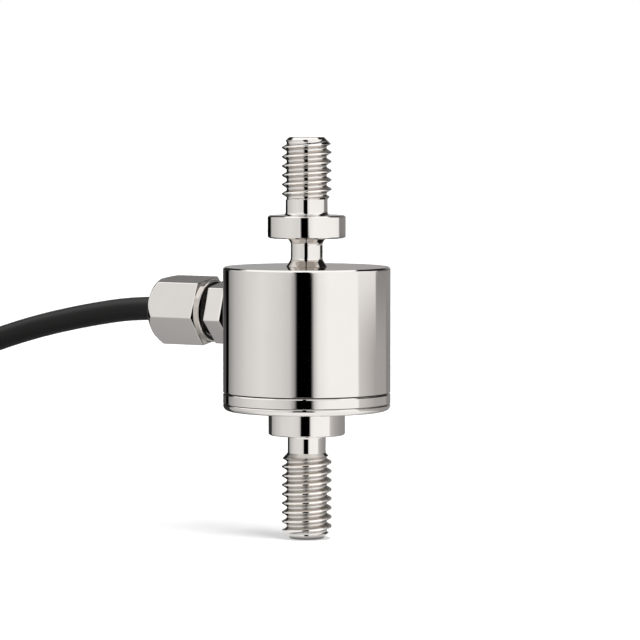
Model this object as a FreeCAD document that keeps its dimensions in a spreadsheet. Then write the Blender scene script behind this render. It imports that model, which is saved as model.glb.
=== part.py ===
# Inline load cell: a round steel body with a threaded stud above and below, a gauged disc
# inside it, a screwed cable gland on its side, and its signal cable put away in a tied hank.
# Millimetres. +Z is up along the load axis, the origin is the centre of the lower stud's
# end face, and the gland and the cable point along -X.
import FreeCAD, Part
import math
import os

import MeshPart
import Sketcher
from FreeCAD import Placement, Rotation, Vector

# Driving sizes
SIZES = {
    # The two studs, their reliefs and collars, from the lower end upwards
    "stud_dia": 5.95,
    "stud_end_chamfer": 0.6,
    "thread_runout": 0.45,
    "lower_thread_length": 10.3,
    "lower_relief_depth": 0.7,
    "lower_relief_length": 2.15,
    "lower_collar_dia": 9.15,
    "lower_collar_length": 2.95,
    "upper_thread_length": 7.4,
    "upper_relief_depth": 0.475,
    "upper_relief_length": 1.92,
    "upper_collar_dia": 9.3,
    "upper_collar_length": 2.7,
    "collar_chamfer": 0.2,
    "relief_cone": 0.4,
    # The body and the neck above it
    "body_dia": 20.0,
    "base_plate_thick": 0.8,
    "base_edge_round": 0.4,
    "disc_rim_thick": 1.3,
    "sleeve_height": 15.05,
    "seam_chamfer": 0.07,
    "top_edge_chamfer": 0.18,
    "neck_dia": 3.8,
    "neck_length": 3.43,
    "neck_fillet": 0.6,
    # Inside the sleeve
    "roof_thick": 0.8,
    "upper_wall_thick": 2.2,
    "lower_wall_thick": 1.5,
    "ledge_drop": 3.2,
    "post_dia": 5.0,
    "post_root": 0.5,
    # The sensing disc
    "disc_wall_thick": 0.7,
    "web_to_ring_gap": 1.1,
    "web_thick": 1.0,
    "web_root": 0.35,
    "hub_dia": 6.5,
    "hub_rise": 1.0,
    "hub_drop": 0.8,
    "slide_fit": 0.02,
    "spigot_fit": 0.05,
    "spigot_to_hub_gap": 1.2,
    # The screw that holds the hub to the post
    "screw_dia": 2.5,
    "screw_hole_clearance": 0.1,
    "tapped_hole_clearance": 0.02,
    "screw_length": 5.0,
    "tapped_hole_spare": 0.5,
    "screw_head_dia": 4.5,
    "screw_head_height": 1.5,
    "screw_head_clearance": 0.15,
    "screw_head_recess": 0.1,
    "socket_flats": 1.5,
    "socket_depth": 0.8,
    "socket_turn": 30.0,
    # Strain gauges
    "gauge_length": 3.2,
    "gauge_width": 2.4,
    "gauge_thick": 0.1,
    "gauge_inset": 0.35,
    "grid_line_width": 0.18,
    "grid_line_length": 2.0,
    "grid_line_pitch": 0.36,
    "grid_rise": 0.05,
    "gauge_tab_width": 0.6,
    "gauge_tab_length": 0.6,
    "gauge_tab_spacing": 1.4,
    # Terminal board, its snap ring and its parts
    "board_thick": 0.8,
    "board_bore_dia": 8.5,
    "board_clearance": 0.05,
    "ring_thick": 0.6,
    "ring_width": 0.95,
    "ring_groove_depth": 0.4,
    "ring_gap_angle": 40.0,
    "pad_dia": 1.1,
    "pad_rise": 0.08,
    "pad_inset": 2.3,
    "pad_step_angle": 19.0,
    "resistor_length": 1.6,
    "resistor_width": 0.8,
    "resistor_height": 0.45,
    "resistor_cap_length": 0.3,
    "resistor_inset": 2.2,
    "gauge_lead_dia": 0.2,
    # Gland, measured along its own axis from the load axis outwards
    "gland_drop": 5.7,
    "spot_face_dia": 6.2,
    "spot_face_depth": 0.46,
    "shoulder_dia": 5.9,
    "shoulder_length": 0.46,
    "gland_hex_flats": 7.0,
    "gland_hex_length": 2.3,
    "gland_hex_chamfer": 0.25,
    "gland_hex_turn": -43.0,
    "shank_dia": 4.6,
    "shank_fit": 0.02,
    "nose_dia": 5.8,
    "nose_length": 5.2,
    "gland_bore_dia": 3.1,
    "grommet_seat_dia": 4.6,
    "grommet_seat_depth": 2.6,
    "seal_ring_width": 0.5,
    "seal_ring_chamfer": 0.12,
    "grommet_dia": 4.5,
    "grommet_length": 3.3,
    "grommet_taper": 0.45,
    "washer_thick": 0.4,
    "washer_dia": 5.0,
    "nut_hex_flats": 7.7,
    "nut_hex_turn": -38.6,
    "nut_gap": 0.8,
    "nut_collar_length": 0.4,
    "nut_inner_chamfer": 0.58,
    "nut_hex_length": 6.35,
    "nut_outer_chamfer": 0.78,
    "nut_end_length": 0.25,
    "nut_end_dia": 7.1,
    "nut_thread_clearance": 0.04,
    "nut_hole_dia": 3.0,
    "nut_mouth_chamfer": 0.25,
    # Cable, hank and flying leads
    "cable_dia": 2.75,
    "core_dia": 0.7,
    "core_spread": 0.43,
    "drain_dia": 0.4,
    "jacket_reach": 0.6,
    "hank_near_centre": 61.0,
    "hank_run": 45.0,
    "hank_fold_dia": 16.2,
    "hank_columns": 2.0,
    "hank_layers": 5.0,
    "hank_edge": 0.8,
    "tie_width": 4.4,
    "tie_thick": 0.5,
    "tie_side_gap": 0.3,
    "tie_flap_length": 7.0,
    "tie_flap_start": 3.0,
    "end_sleeve_dia": 3.3,
    "end_sleeve_length": 6.0,
    "end_sleeve_overlap": 2.5,
    "lead_tip_length": 3.0,
    "lead_tip_dia": 0.4,
}

CORNERS_PER_FLATS = 2 / math.sqrt(3)
FULL_TURN = 360.0
NEAR = 1e-4
ARC_SHARE = 0.45
GRID_LINES = 5
CORE_TURN_SHARE = 1 / 3
FACET_DEFLECTION = 0.1
FACET_ANGLE = 0.5
PARTS_FOLDER = "parts"

doc = FreeCAD.newDocument("inline_load_cell")


class Size:
    """A length known both as a number and as the sheet expression that gives it."""

    def __init__(self, value, text):
        self.value = value
        self.text = text

    def joined(self, sign, other, value):
        text = other.text if isinstance(other, Size) else repr(other)
        return Size(value, f"({self.text} {sign} {text})")

    def __add__(self, other):
        return self.joined("+", other, self.value + number(other))

    def __sub__(self, other):
        return self.joined("-", other, self.value - number(other))

    def __mul__(self, other):
        return self.joined("*", other, self.value * number(other))

    def __truediv__(self, other):
        return self.joined("/", other, self.value / number(other))

    def __neg__(self):
        return Size(-self.value, f"(-1 * {self.text})")


def number(size):
    """Plain number of a Size or of a number."""
    return size.value if isinstance(size, Size) else float(size)


class Sizes:
    """The driving sizes, each read by its name."""

    def __init__(self, table):
        sheet = doc.addObject("Spreadsheet::Sheet", "sizes")
        for row, (alias, value) in enumerate(table.items(), 1):
            sheet.set(f"A{row}", alias)
            sheet.set(f"B{row}", str(value))
            sheet.setAlias(f"B{row}", alias)
            setattr(self, alias, Size(float(value), f"sizes.{alias}"))
        doc.recompute()


d = Sizes(SIZES)

# Heights along the load axis
LOWER_RELIEF_Z = d.lower_thread_length
LOWER_COLLAR_Z = LOWER_RELIEF_Z + d.lower_relief_length
PLATE_Z = LOWER_COLLAR_Z + d.lower_collar_length
RIM_Z = PLATE_Z + d.base_plate_thick
SLEEVE_Z = RIM_Z + d.disc_rim_thick
TOP_Z = SLEEVE_Z + d.sleeve_height
ROOF_Z = TOP_Z - d.roof_thick
GLAND_Z = TOP_Z - d.gland_drop
UPPER_COLLAR_Z = TOP_Z + d.neck_length
UPPER_RELIEF_Z = UPPER_COLLAR_Z + d.upper_collar_length
UPPER_THREAD_Z = UPPER_RELIEF_Z + d.upper_relief_length
STUD_TOP_Z = UPPER_THREAD_Z + d.upper_thread_length
LEDGE_Z = GLAND_Z - d.ledge_drop
BOARD_UNDER_Z = LEDGE_Z - d.board_thick
WEB_TOP_Z = BOARD_UNDER_Z - d.ring_thick - d.web_to_ring_gap
WEB_UNDER_Z = WEB_TOP_Z - d.web_thick
HUB_TOP_Z = WEB_TOP_Z + d.hub_rise
HUB_UNDER_Z = WEB_UNDER_Z - d.hub_drop
SPIGOT_TOP_Z = HUB_UNDER_Z - d.spigot_to_hub_gap
SCREW_UNDER_Z = HUB_UNDER_Z + d.screw_head_recess
SCREW_SEAT_Z = SCREW_UNDER_Z + d.screw_head_height

# Diameters that follow the stud's and the body's
LOWER_RELIEF_DIA = d.stud_dia - d.lower_relief_depth * 2
UPPER_RELIEF_DIA = d.stud_dia - d.upper_relief_depth * 2
UPPER_BORE_DIA = d.body_dia - d.upper_wall_thick * 2
LOWER_BORE_DIA = d.body_dia - d.lower_wall_thick * 2
DISC_BORE_DIA = LOWER_BORE_DIA - d.disc_wall_thick * 2
PAD_CIRCLE_DIA = LOWER_BORE_DIA - d.pad_inset * 2
RESISTOR_CIRCLE_DIA = LOWER_BORE_DIA - d.resistor_inset * 2

# Distances along the gland's axis
JACKET_END_L = UPPER_BORE_DIA / 2 - d.jacket_reach
SPOT_FACE_L = d.body_dia / 2 - d.spot_face_depth
HEX_L = SPOT_FACE_L + d.shoulder_length
NOSE_L = HEX_L + d.gland_hex_length
NOSE_END_L = NOSE_L + d.nose_length
NUT_L = NOSE_L + d.nut_gap
NUT_HEX_L = NUT_L + d.nut_collar_length
NUT_HEX_END_L = NUT_HEX_L + d.nut_inner_chamfer + d.nut_hex_length
NUT_END_L = NUT_HEX_END_L + d.nut_end_length
SEAT_L = NOSE_END_L - d.grommet_seat_depth
GROMMET_END_L = SEAT_L + d.grommet_length
WASHER_END_L = GROMMET_END_L + d.washer_thick

# The hank, in plan
HANK_NEAR_X = -d.hank_near_centre
HANK_FAR_X = HANK_NEAR_X - d.hank_run
HANK_WAIST_X = HANK_NEAR_X - d.hank_run / 2
HANK_END_RADIUS = d.hank_fold_dia / 2 + d.cable_dia * (d.hank_columns - 0.5)
HANK_WAIST_HALF = d.cable_dia * d.hank_columns
HANK_HEIGHT = d.cable_dia * d.hank_layers


def half(size):
    return size / 2


def new_body(label):
    body = doc.addObject("PartDesign::Body", label)
    body.Label = label
    return body


def origin_plane(body, role):
    for feature in body.Origin.OriginFeatures:
        if feature.Role == role:
            return feature
    raise ValueError(f"{body.Label} has no {role}")


def new_sketch(body, name, role, offset=None):
    """Empty sketch on an origin plane of its own body, moved along its normal if asked."""
    sketch = body.newObject("Sketcher::SketchObject", f"{body.Label}_{name}")
    sketch.AttachmentSupport = (origin_plane(body, role), [""])
    sketch.MapMode = "FlatFace"
    if offset is not None:
        sketch.AttachmentOffset = Placement(Vector(0, 0, number(offset)), Rotation())
        if isinstance(offset, Size):
            sketch.setExpression("AttachmentOffset.Base.z", offset.text)
    return sketch


def tie_point(sketch, edge, end, corner):
    """Hold one end of a sketch edge at a corner, given as two sizes."""
    for kind, axis, size in (("DistanceX", -2, corner[0]), ("DistanceY", -1, corner[1])):
        if number(size) == 0 and not isinstance(size, Size):
            sketch.addConstraint(Sketcher.Constraint("PointOnObject", edge, end, axis))
            continue
        index = sketch.addConstraint(
            Sketcher.Constraint(kind, -1, 1, edge, end, number(size))
        )
        if isinstance(size, Size):
            sketch.setExpression(f"Constraints[{index}]", size.text)


def add_outline(sketch, corners):
    """Closed outline of straight edges, every corner tied to its sizes."""
    points = [Vector(number(x), number(y), 0) for x, y in corners]
    first = sketch.GeometryCount
    count = len(points)
    for index in range(count):
        sketch.addGeometry(Part.LineSegment(points[index], points[(index + 1) % count]))
    for index in range(count):
        following = (index + 1) % count
        sketch.addConstraint(
            Sketcher.Constraint("Coincident", first + index, 2, first + following, 1)
        )
    for index, corner in enumerate(corners):
        tie_point(sketch, first + index, 1, corner)


def add_circle(sketch, centre, radius):
    edge = sketch.addGeometry(
        Part.Circle(Vector(number(centre[0]), number(centre[1]), 0), Vector(0, 0, 1), radius.value)
    )
    tie_point(sketch, edge, 3, centre)
    index = sketch.addConstraint(Sketcher.Constraint("Radius", edge, radius.value))
    sketch.setExpression(f"Constraints[{index}]", radius.text)


def box_corners(left, right, low, high):
    return [(left, low), (right, low), (right, high), (left, high)]


def turned(body, name, corners, angle=FULL_TURN):
    """Solid of revolution about the body's Z axis, from a profile of radius and height."""
    sketch = new_sketch(body, f"{name}_profile", "XZ_Plane")
    add_outline(sketch, corners)
    feature = body.newObject("PartDesign::Revolution", f"{body.Label}_{name}")
    feature.Profile = sketch
    feature.ReferenceAxis = (sketch, ["V_Axis"])
    feature.Angle = angle if not isinstance(angle, Size) else angle.value
    if isinstance(angle, Size):
        feature.setExpression("Angle", angle.text)
    body.Tip = feature
    doc.recompute()
    return feature


def grooved(body, name, corners):
    """Turned cut about the body's Z axis."""
    before = body.Shape.Volume
    sketch = new_sketch(body, f"{name}_profile", "XZ_Plane")
    add_outline(sketch, corners)
    feature = body.newObject("PartDesign::Groove", f"{body.Label}_{name}")
    feature.Profile = sketch
    feature.ReferenceAxis = (sketch, ["V_Axis"])
    feature.Angle = FULL_TURN
    body.Tip = feature
    doc.recompute()
    expect_less(body, before)
    return feature


def padded(body, name, sketch, length, reverse=False, both_sides=False):
    feature = body.newObject("PartDesign::Pad", f"{body.Label}_{name}")
    feature.Profile = sketch
    feature.Length = number(length)
    if isinstance(length, Size):
        feature.setExpression("Length", length.text)
    feature.Reversed = reverse
    feature.Midplane = both_sides
    body.Tip = feature
    doc.recompute()
    return feature


def pocketed(body, name, sketch, length, reverse=False, both_sides=False):
    before = body.Shape.Volume
    feature = body.newObject("PartDesign::Pocket", f"{body.Label}_{name}")
    feature.Profile = sketch
    feature.Length = number(length)
    if isinstance(length, Size):
        feature.setExpression("Length", length.text)
    feature.Reversed = reverse
    feature.Midplane = both_sides
    body.Tip = feature
    doc.recompute()
    expect_less(body, before)
    return feature


def expect_less(body, before):
    if body.Shape.Volume > before - NEAR:
        raise ValueError(f"a cut in {body.Label} took nothing away")


def dressed(body, kind, name, size, edges):
    """Fillet or chamfer on the named edges of the body's last feature."""
    if not edges:
        raise ValueError(f"no edge for {name} on {body.Label}")
    base = body.Tip
    feature = body.newObject(f"PartDesign::{kind}", f"{body.Label}_{name}")
    feature.Base = (base, edges)
    key = "Radius" if kind == "Fillet" else "Size"
    setattr(feature, key, size.value)
    feature.setExpression(key, size.text)
    body.Tip = feature
    doc.recompute()
    return feature


def rims(body, *places):
    """Names of the circular edges about the body's Z axis at pairs of radius and height."""
    names = []
    for index, edge in enumerate(body.Tip.Shape.Edges, 1):
        if not isinstance(edge.Curve, Part.Circle):
            continue
        centre = edge.Curve.Center
        if math.hypot(centre.x, centre.y) > NEAR:
            continue
        for radius, height in places:
            if abs(edge.Curve.Radius - radius.value) < NEAR and abs(centre.z - number(height)) < NEAR:
                names.append(f"Edge{index}")
    return names


def straight_edges(body, direction, places):
    """Names of the straight edges along one direction whose middles are near given points."""
    names = []
    for index, edge in enumerate(body.Tip.Shape.Edges, 1):
        if not isinstance(edge.Curve, Part.Line):
            continue
        along = edge.Vertexes[-1].Point.sub(edge.Vertexes[0].Point).normalize()
        if abs(abs(along.dot(direction)) - 1) > NEAR:
            continue
        middle = edge.CenterOfMass
        for place in places:
            gap = middle.sub(place)
            across = gap.sub(direction * gap.dot(direction))
            if across.Length < NEAR:
                names.append(f"Edge{index}")
    return names


def hexagon(sketch, flats, turn):
    """Hexagon about the sketch's origin, with one corner turned from the sketch's X axis."""
    radius = flats / 2 * CORNERS_PER_FLATS
    start = math.radians(turn.value)
    corners = [
        Vector(radius.value * math.cos(start + step * math.pi / 3),
               radius.value * math.sin(start + step * math.pi / 3), 0)
        for step in range(6)
    ]
    first = sketch.GeometryCount
    for step in range(6):
        sketch.addGeometry(Part.LineSegment(corners[step], corners[(step + 1) % 6]))
    for step in range(6):
        following = (step + 1) % 6
        sketch.addConstraint(
            Sketcher.Constraint("Coincident", first + step, 2, first + following, 1)
        )
    for step in range(6):
        angle = f"({turn.text} + {60 * step}) * 1 deg"
        for kind, function, value in (
            ("DistanceX", "cos", corners[step].x),
            ("DistanceY", "sin", corners[step].y),
        ):
            index = sketch.addConstraint(
                Sketcher.Constraint(kind, -1, 1, first + step, 1, value)
            )
            sketch.setExpression(f"Constraints[{index}]", f"{radius.text} * {function}({angle})")


def on_gland_axis(body):
    """Lay a body that was made about Z along the gland's axis, pointing to -X."""
    body.Placement = Placement(
        Vector(0, 0, GLAND_Z.value), Rotation(Vector(0, 1, 0), -90)
    )
    body.setExpression("Placement.Base.z", GLAND_Z.text)


def load_stud_housing():
    """Upper stud, relief, collar, neck, roof, post and sleeve, turned in one piece."""
    body = new_body("load_stud_housing")
    turned(body, "turning", [
        (half(LOWER_BORE_DIA), SLEEVE_Z),
        (half(d.body_dia), SLEEVE_Z),
        (half(d.body_dia), TOP_Z),
        (half(d.neck_dia), TOP_Z),
        (half(d.neck_dia), UPPER_COLLAR_Z),
        (half(d.upper_collar_dia), UPPER_COLLAR_Z),
        (half(d.upper_collar_dia), UPPER_RELIEF_Z),
        (half(UPPER_RELIEF_DIA), UPPER_RELIEF_Z),
        (half(UPPER_RELIEF_DIA), UPPER_THREAD_Z),
        (half(d.stud_dia), UPPER_THREAD_Z),
        (half(d.stud_dia), STUD_TOP_Z),
        (0, STUD_TOP_Z),
        (0, HUB_TOP_Z),
        (half(d.post_dia), HUB_TOP_Z),
        (half(d.post_dia), ROOF_Z),
        (half(UPPER_BORE_DIA), ROOF_Z),
        (half(UPPER_BORE_DIA), LEDGE_Z),
        (half(LOWER_BORE_DIA), LEDGE_Z),
    ])
    groove_top = BOARD_UNDER_Z + d.board_clearance
    groove_foot = BOARD_UNDER_Z - d.ring_thick - d.board_clearance
    grooved(body, "ring_groove", box_corners(
        half(LOWER_BORE_DIA) - d.slide_fit,
        half(LOWER_BORE_DIA) + d.ring_groove_depth,
        groove_foot,
        groove_top,
    ))
    tapped = new_sketch(body, "tapped_hole_circle", "XY_Plane", HUB_TOP_Z)
    add_circle(tapped, (0, 0), half(d.screw_dia) + d.tapped_hole_clearance)
    depth = d.screw_length + d.tapped_hole_spare - (HUB_TOP_Z - SCREW_SEAT_Z)
    pocketed(body, "tapped_hole", tapped, depth, reverse=True)
    gland_hole = new_sketch(body, "gland_hole_circle", "YZ_Plane", -half(half(UPPER_BORE_DIA)))
    add_circle(gland_hole, (0, GLAND_Z), half(d.shank_dia) + d.shank_fit)
    pocketed(body, "gland_hole", gland_hole, half(d.body_dia))
    spot_face = new_sketch(body, "spot_face_circle", "YZ_Plane", -SPOT_FACE_L)
    add_circle(spot_face, (0, GLAND_Z), half(d.spot_face_dia))
    pocketed(body, "spot_face", spot_face, half(d.body_dia))
    seal_seat = new_sketch(
        body, "seal_seat_circle", "YZ_Plane", d.seal_ring_width - SPOT_FACE_L
    )
    add_circle(seal_seat, (0, GLAND_Z), half(d.shank_dia) + d.seal_ring_width + d.shank_fit)
    pocketed(body, "seal_seat", seal_seat, half(d.body_dia))
    dressed(body, "Fillet", "neck_fillet", d.neck_fillet, rims(
        body, (half(d.neck_dia), TOP_Z), (half(d.neck_dia), UPPER_COLLAR_Z)
    ))
    dressed(body, "Chamfer", "upper_relief_cone", d.relief_cone, rims(
        body, (half(UPPER_RELIEF_DIA), UPPER_RELIEF_Z)
    ))
    dressed(body, "Chamfer", "post_roots", d.post_root, rims(
        body, (half(d.post_dia), ROOF_Z), (half(UPPER_BORE_DIA), ROOF_Z)
    ))
    dressed(body, "Chamfer", "top_edge", d.top_edge_chamfer, rims(body, (half(d.body_dia), TOP_Z)))
    dressed(body, "Chamfer", "collar_edges", d.collar_chamfer, rims(
        body,
        (half(d.upper_collar_dia), UPPER_COLLAR_Z),
        (half(d.upper_collar_dia), UPPER_RELIEF_Z),
    ))
    dressed(body, "Chamfer", "seam_edge", d.seam_chamfer, rims(body, (half(d.body_dia), SLEEVE_Z)))
    dressed(body, "Chamfer", "stud_end", d.stud_end_chamfer, rims(body, (half(d.stud_dia), STUD_TOP_Z)))
    dressed(body, "Chamfer", "thread_start", d.thread_runout, rims(
        body, (half(d.stud_dia), UPPER_THREAD_Z)
    ))
    return body


def sensing_disc():
    """Rim that shows between the seams, thin wall, gauged web and hub, turned in one piece."""
    body = new_body("sensing_disc")
    wall_radius = half(LOWER_BORE_DIA) - d.slide_fit
    head_radius = half(d.screw_head_dia) + d.screw_head_clearance
    hole_radius = half(d.screw_dia) + d.screw_hole_clearance
    turned(body, "turning", [
        (half(DISC_BORE_DIA), RIM_Z),
        (half(d.body_dia), RIM_Z),
        (half(d.body_dia), SLEEVE_Z),
        (wall_radius, SLEEVE_Z),
        (wall_radius, WEB_TOP_Z),
        (half(d.hub_dia), WEB_TOP_Z),
        (half(d.hub_dia), HUB_TOP_Z),
        (hole_radius, HUB_TOP_Z),
        (hole_radius, SCREW_SEAT_Z),
        (head_radius, SCREW_SEAT_Z),
        (head_radius, HUB_UNDER_Z),
        (half(d.hub_dia), HUB_UNDER_Z),
        (half(d.hub_dia), WEB_UNDER_Z),
        (half(DISC_BORE_DIA), WEB_UNDER_Z),
    ])
    dressed(body, "Chamfer", "web_roots", d.web_root, rims(
        body,
        (half(d.hub_dia), WEB_UNDER_Z),
        (half(DISC_BORE_DIA), WEB_UNDER_Z),
        (half(d.hub_dia), WEB_TOP_Z),
    ))
    dressed(body, "Chamfer", "seam_edges", d.seam_chamfer, rims(
        body, (half(d.body_dia), RIM_Z), (half(d.body_dia), SLEEVE_Z)
    ))
    return body


def base_stud():
    """Lower stud, relief, collar, plate and the spigot that centres the plate."""
    body = new_body("base_stud")
    spigot_radius = half(DISC_BORE_DIA) - d.spigot_fit
    turned(body, "turning", [
        (0, 0),
        (half(d.stud_dia), 0),
        (half(d.stud_dia), LOWER_RELIEF_Z),
        (half(LOWER_RELIEF_DIA), LOWER_RELIEF_Z),
        (half(LOWER_RELIEF_DIA), LOWER_COLLAR_Z),
        (half(d.lower_collar_dia), LOWER_COLLAR_Z),
        (half(d.lower_collar_dia), PLATE_Z),
        (half(d.body_dia), PLATE_Z),
        (half(d.body_dia), RIM_Z),
        (spigot_radius, RIM_Z),
        (spigot_radius, SPIGOT_TOP_Z),
        (0, SPIGOT_TOP_Z),
    ])
    dressed(body, "Fillet", "plate_edge", d.base_edge_round, rims(body, (half(d.body_dia), PLATE_Z)))
    dressed(body, "Chamfer", "relief_cone", d.relief_cone, rims(
        body, (half(LOWER_RELIEF_DIA), LOWER_COLLAR_Z)
    ))
    dressed(body, "Chamfer", "collar_edge", d.collar_chamfer, rims(
        body, (half(d.lower_collar_dia), LOWER_COLLAR_Z)
    ))
    dressed(body, "Chamfer", "seam_edge", d.seam_chamfer, rims(body, (half(d.body_dia), RIM_Z)))
    dressed(body, "Chamfer", "spigot_edge", d.collar_chamfer, rims(body, (spigot_radius, SPIGOT_TOP_Z)))
    dressed(body, "Chamfer", "stud_end", d.stud_end_chamfer, rims(body, (half(d.stud_dia), 0)))
    dressed(body, "Chamfer", "thread_end", d.thread_runout, rims(
        body, (half(d.stud_dia), LOWER_RELIEF_Z)
    ))
    return body


def hub_screw():
    """Low-head socket screw from below, through the hub and into the post."""
    body = new_body("hub_screw")
    turned(body, "turning", [
        (0, SCREW_UNDER_Z),
        (half(d.screw_head_dia), SCREW_UNDER_Z),
        (half(d.screw_head_dia), SCREW_SEAT_Z),
        (half(d.screw_dia), SCREW_SEAT_Z),
        (half(d.screw_dia), SCREW_SEAT_Z + d.screw_length),
        (0, SCREW_SEAT_Z + d.screw_length),
    ])
    socket = new_sketch(body, "socket_hexagon", "XY_Plane", SCREW_UNDER_Z)
    hexagon(socket, d.socket_flats, d.socket_turn)
    pocketed(body, "socket", socket, d.socket_depth, reverse=True)
    dressed(body, "Chamfer", "edges", d.collar_chamfer, rims(
        body,
        (half(d.screw_head_dia), SCREW_UNDER_Z),
        (half(d.screw_dia), SCREW_SEAT_Z + d.screw_length),
    ))
    return body


def strain_gauge(index, azimuth):
    """Foil gauge on the web: a backing with grid lines along the radius and two solder tabs."""
    body = new_body(f"strain_gauge_{index}")
    inner = half(d.hub_dia) + d.gauge_inset
    outer = inner + d.gauge_length
    backing = new_sketch(body, "backing_outline", "XY_Plane")
    add_outline(backing, box_corners(inner, outer, -half(d.gauge_width), half(d.gauge_width)))
    padded(body, "backing", backing, d.gauge_thick)
    line = new_sketch(body, "grid_outline", "XY_Plane", d.gauge_thick)
    start = inner + d.gauge_inset / 2
    span = d.grid_line_pitch * (GRID_LINES - 1)
    lowest = -half(span)
    add_outline(line, box_corners(
        start,
        start + d.grid_line_length,
        lowest - half(d.grid_line_width),
        lowest + half(d.grid_line_width),
    ))
    first = padded(body, "grid_line", line, d.grid_rise)
    lines = body.newObject("PartDesign::LinearPattern", f"{body.Label}_grid")
    lines.Originals = [first]
    lines.Direction = (line, ["V_Axis"])
    lines.Length = span.value
    lines.setExpression("Length", span.text)
    lines.Occurrences = GRID_LINES
    body.Tip = lines
    doc.recompute()
    for side in (-1, 1):
        tab = new_sketch(body, f"tab_{side + 2}_outline", "XY_Plane", d.gauge_thick)
        middle = d.gauge_tab_spacing / 2 * side
        add_outline(tab, box_corners(
            outer - d.gauge_tab_length,
            outer - d.seam_chamfer,
            middle - half(d.gauge_tab_width),
            middle + half(d.gauge_tab_width),
        ))
        padded(body, f"tab_{side + 2}", tab, d.grid_rise)
    body.Placement = Placement(
        Vector(0, 0, WEB_TOP_Z.value), Rotation(Vector(0, 0, 1), azimuth)
    )
    body.setExpression("Placement.Base.z", WEB_TOP_Z.text)
    return body


def gauge_leads(azimuths):
    """Eight fine wires, straight up from the gauge tabs to the underside of the board."""
    foot = WEB_TOP_Z + d.gauge_thick + d.grid_rise
    radius = half(d.hub_dia) + d.gauge_inset + d.gauge_length - d.gauge_tab_length / 2
    side = d.gauge_tab_spacing / 2
    wires = []
    for azimuth in azimuths:
        turn = Rotation(Vector(0, 0, 1), azimuth)
        for sign in (-1, 1):
            place = turn.multVec(Vector(radius.value, sign * side.value, foot.value))
            wires.append(Part.makeCylinder(
                half(d.gauge_lead_dia).value, (BOARD_UNDER_Z - foot).value, place
            ))
    return made("gauge_leads", Part.makeCompound(wires))


def terminal_board():
    """Ring-shaped board under the ledge, with raised pads for the cable's wires."""
    body = new_body("terminal_board")
    turned(body, "board", box_corners(
        half(d.board_bore_dia),
        half(LOWER_BORE_DIA) - d.board_clearance,
        BOARD_UNDER_Z,
        LEDGE_Z,
    ))
    for index, (x, y) in enumerate(pad_centres(), 1):
        pad = new_sketch(body, f"pad_{index}_circle", "XY_Plane", LEDGE_Z)
        add_circle(pad, (x, y), half(d.pad_dia))
        padded(body, f"pad_{index}", pad, d.pad_rise)
    return body


def pad_centres():
    """Places of the five pads, in a row along the pad circle on the gland's side."""
    centres = []
    for step in (-2, -1, 0, 1, 2):
        angle = f"(180 + {step} * {d.pad_step_angle.text}) * 1 deg"
        turn = math.radians(180 + step * d.pad_step_angle.value)
        radius = half(PAD_CIRCLE_DIA)
        centres.append((
            Size(radius.value * math.cos(turn), f"({radius.text} * cos({angle}))"),
            Size(radius.value * math.sin(turn), f"({radius.text} * sin({angle}))"),
        ))
    return centres


def board_snap_ring():
    """Open spring ring in its groove below the board."""
    body = new_body("board_snap_ring")
    outer = half(LOWER_BORE_DIA) + d.ring_groove_depth - d.board_clearance
    opening = d.ring_gap_angle
    turned(body, "ring", box_corners(
        outer - d.ring_width, outer, BOARD_UNDER_Z - d.ring_thick, BOARD_UNDER_Z
    ), -opening + FULL_TURN)
    return body


def trim_resistor(index, azimuth):
    """Chip resistor with its two end caps, on top of the board."""
    body = new_body(f"trim_resistor_{index}")
    middle = half(RESISTOR_CIRCLE_DIA)
    sketch = new_sketch(body, "chip_outline", "XY_Plane")
    add_outline(sketch, box_corners(
        middle - half(d.resistor_width),
        middle + half(d.resistor_width),
        -half(d.resistor_length),
        half(d.resistor_length),
    ))
    padded(body, "chip", sketch, d.resistor_height)
    for side, name in ((-1, "near_cap"), (1, "far_cap")):
        cap = new_sketch(body, f"{name}_outline", "XY_Plane")
        end = half(d.resistor_length) * side
        start = (half(d.resistor_length) - d.resistor_cap_length) * side
        low, high = (end, start) if side < 0 else (start, end)
        add_outline(cap, box_corners(
            middle - half(d.resistor_width) - d.pad_rise / 2,
            middle + half(d.resistor_width) + d.pad_rise / 2,
            low,
            high,
        ))
        padded(body, name, cap, d.resistor_height + d.pad_rise / 2)
    body.Placement = Placement(
        Vector(0, 0, LEDGE_Z.value), Rotation(Vector(0, 0, 1), azimuth)
    )
    body.setExpression("Placement.Base.z", LEDGE_Z.text)
    return body


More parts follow.
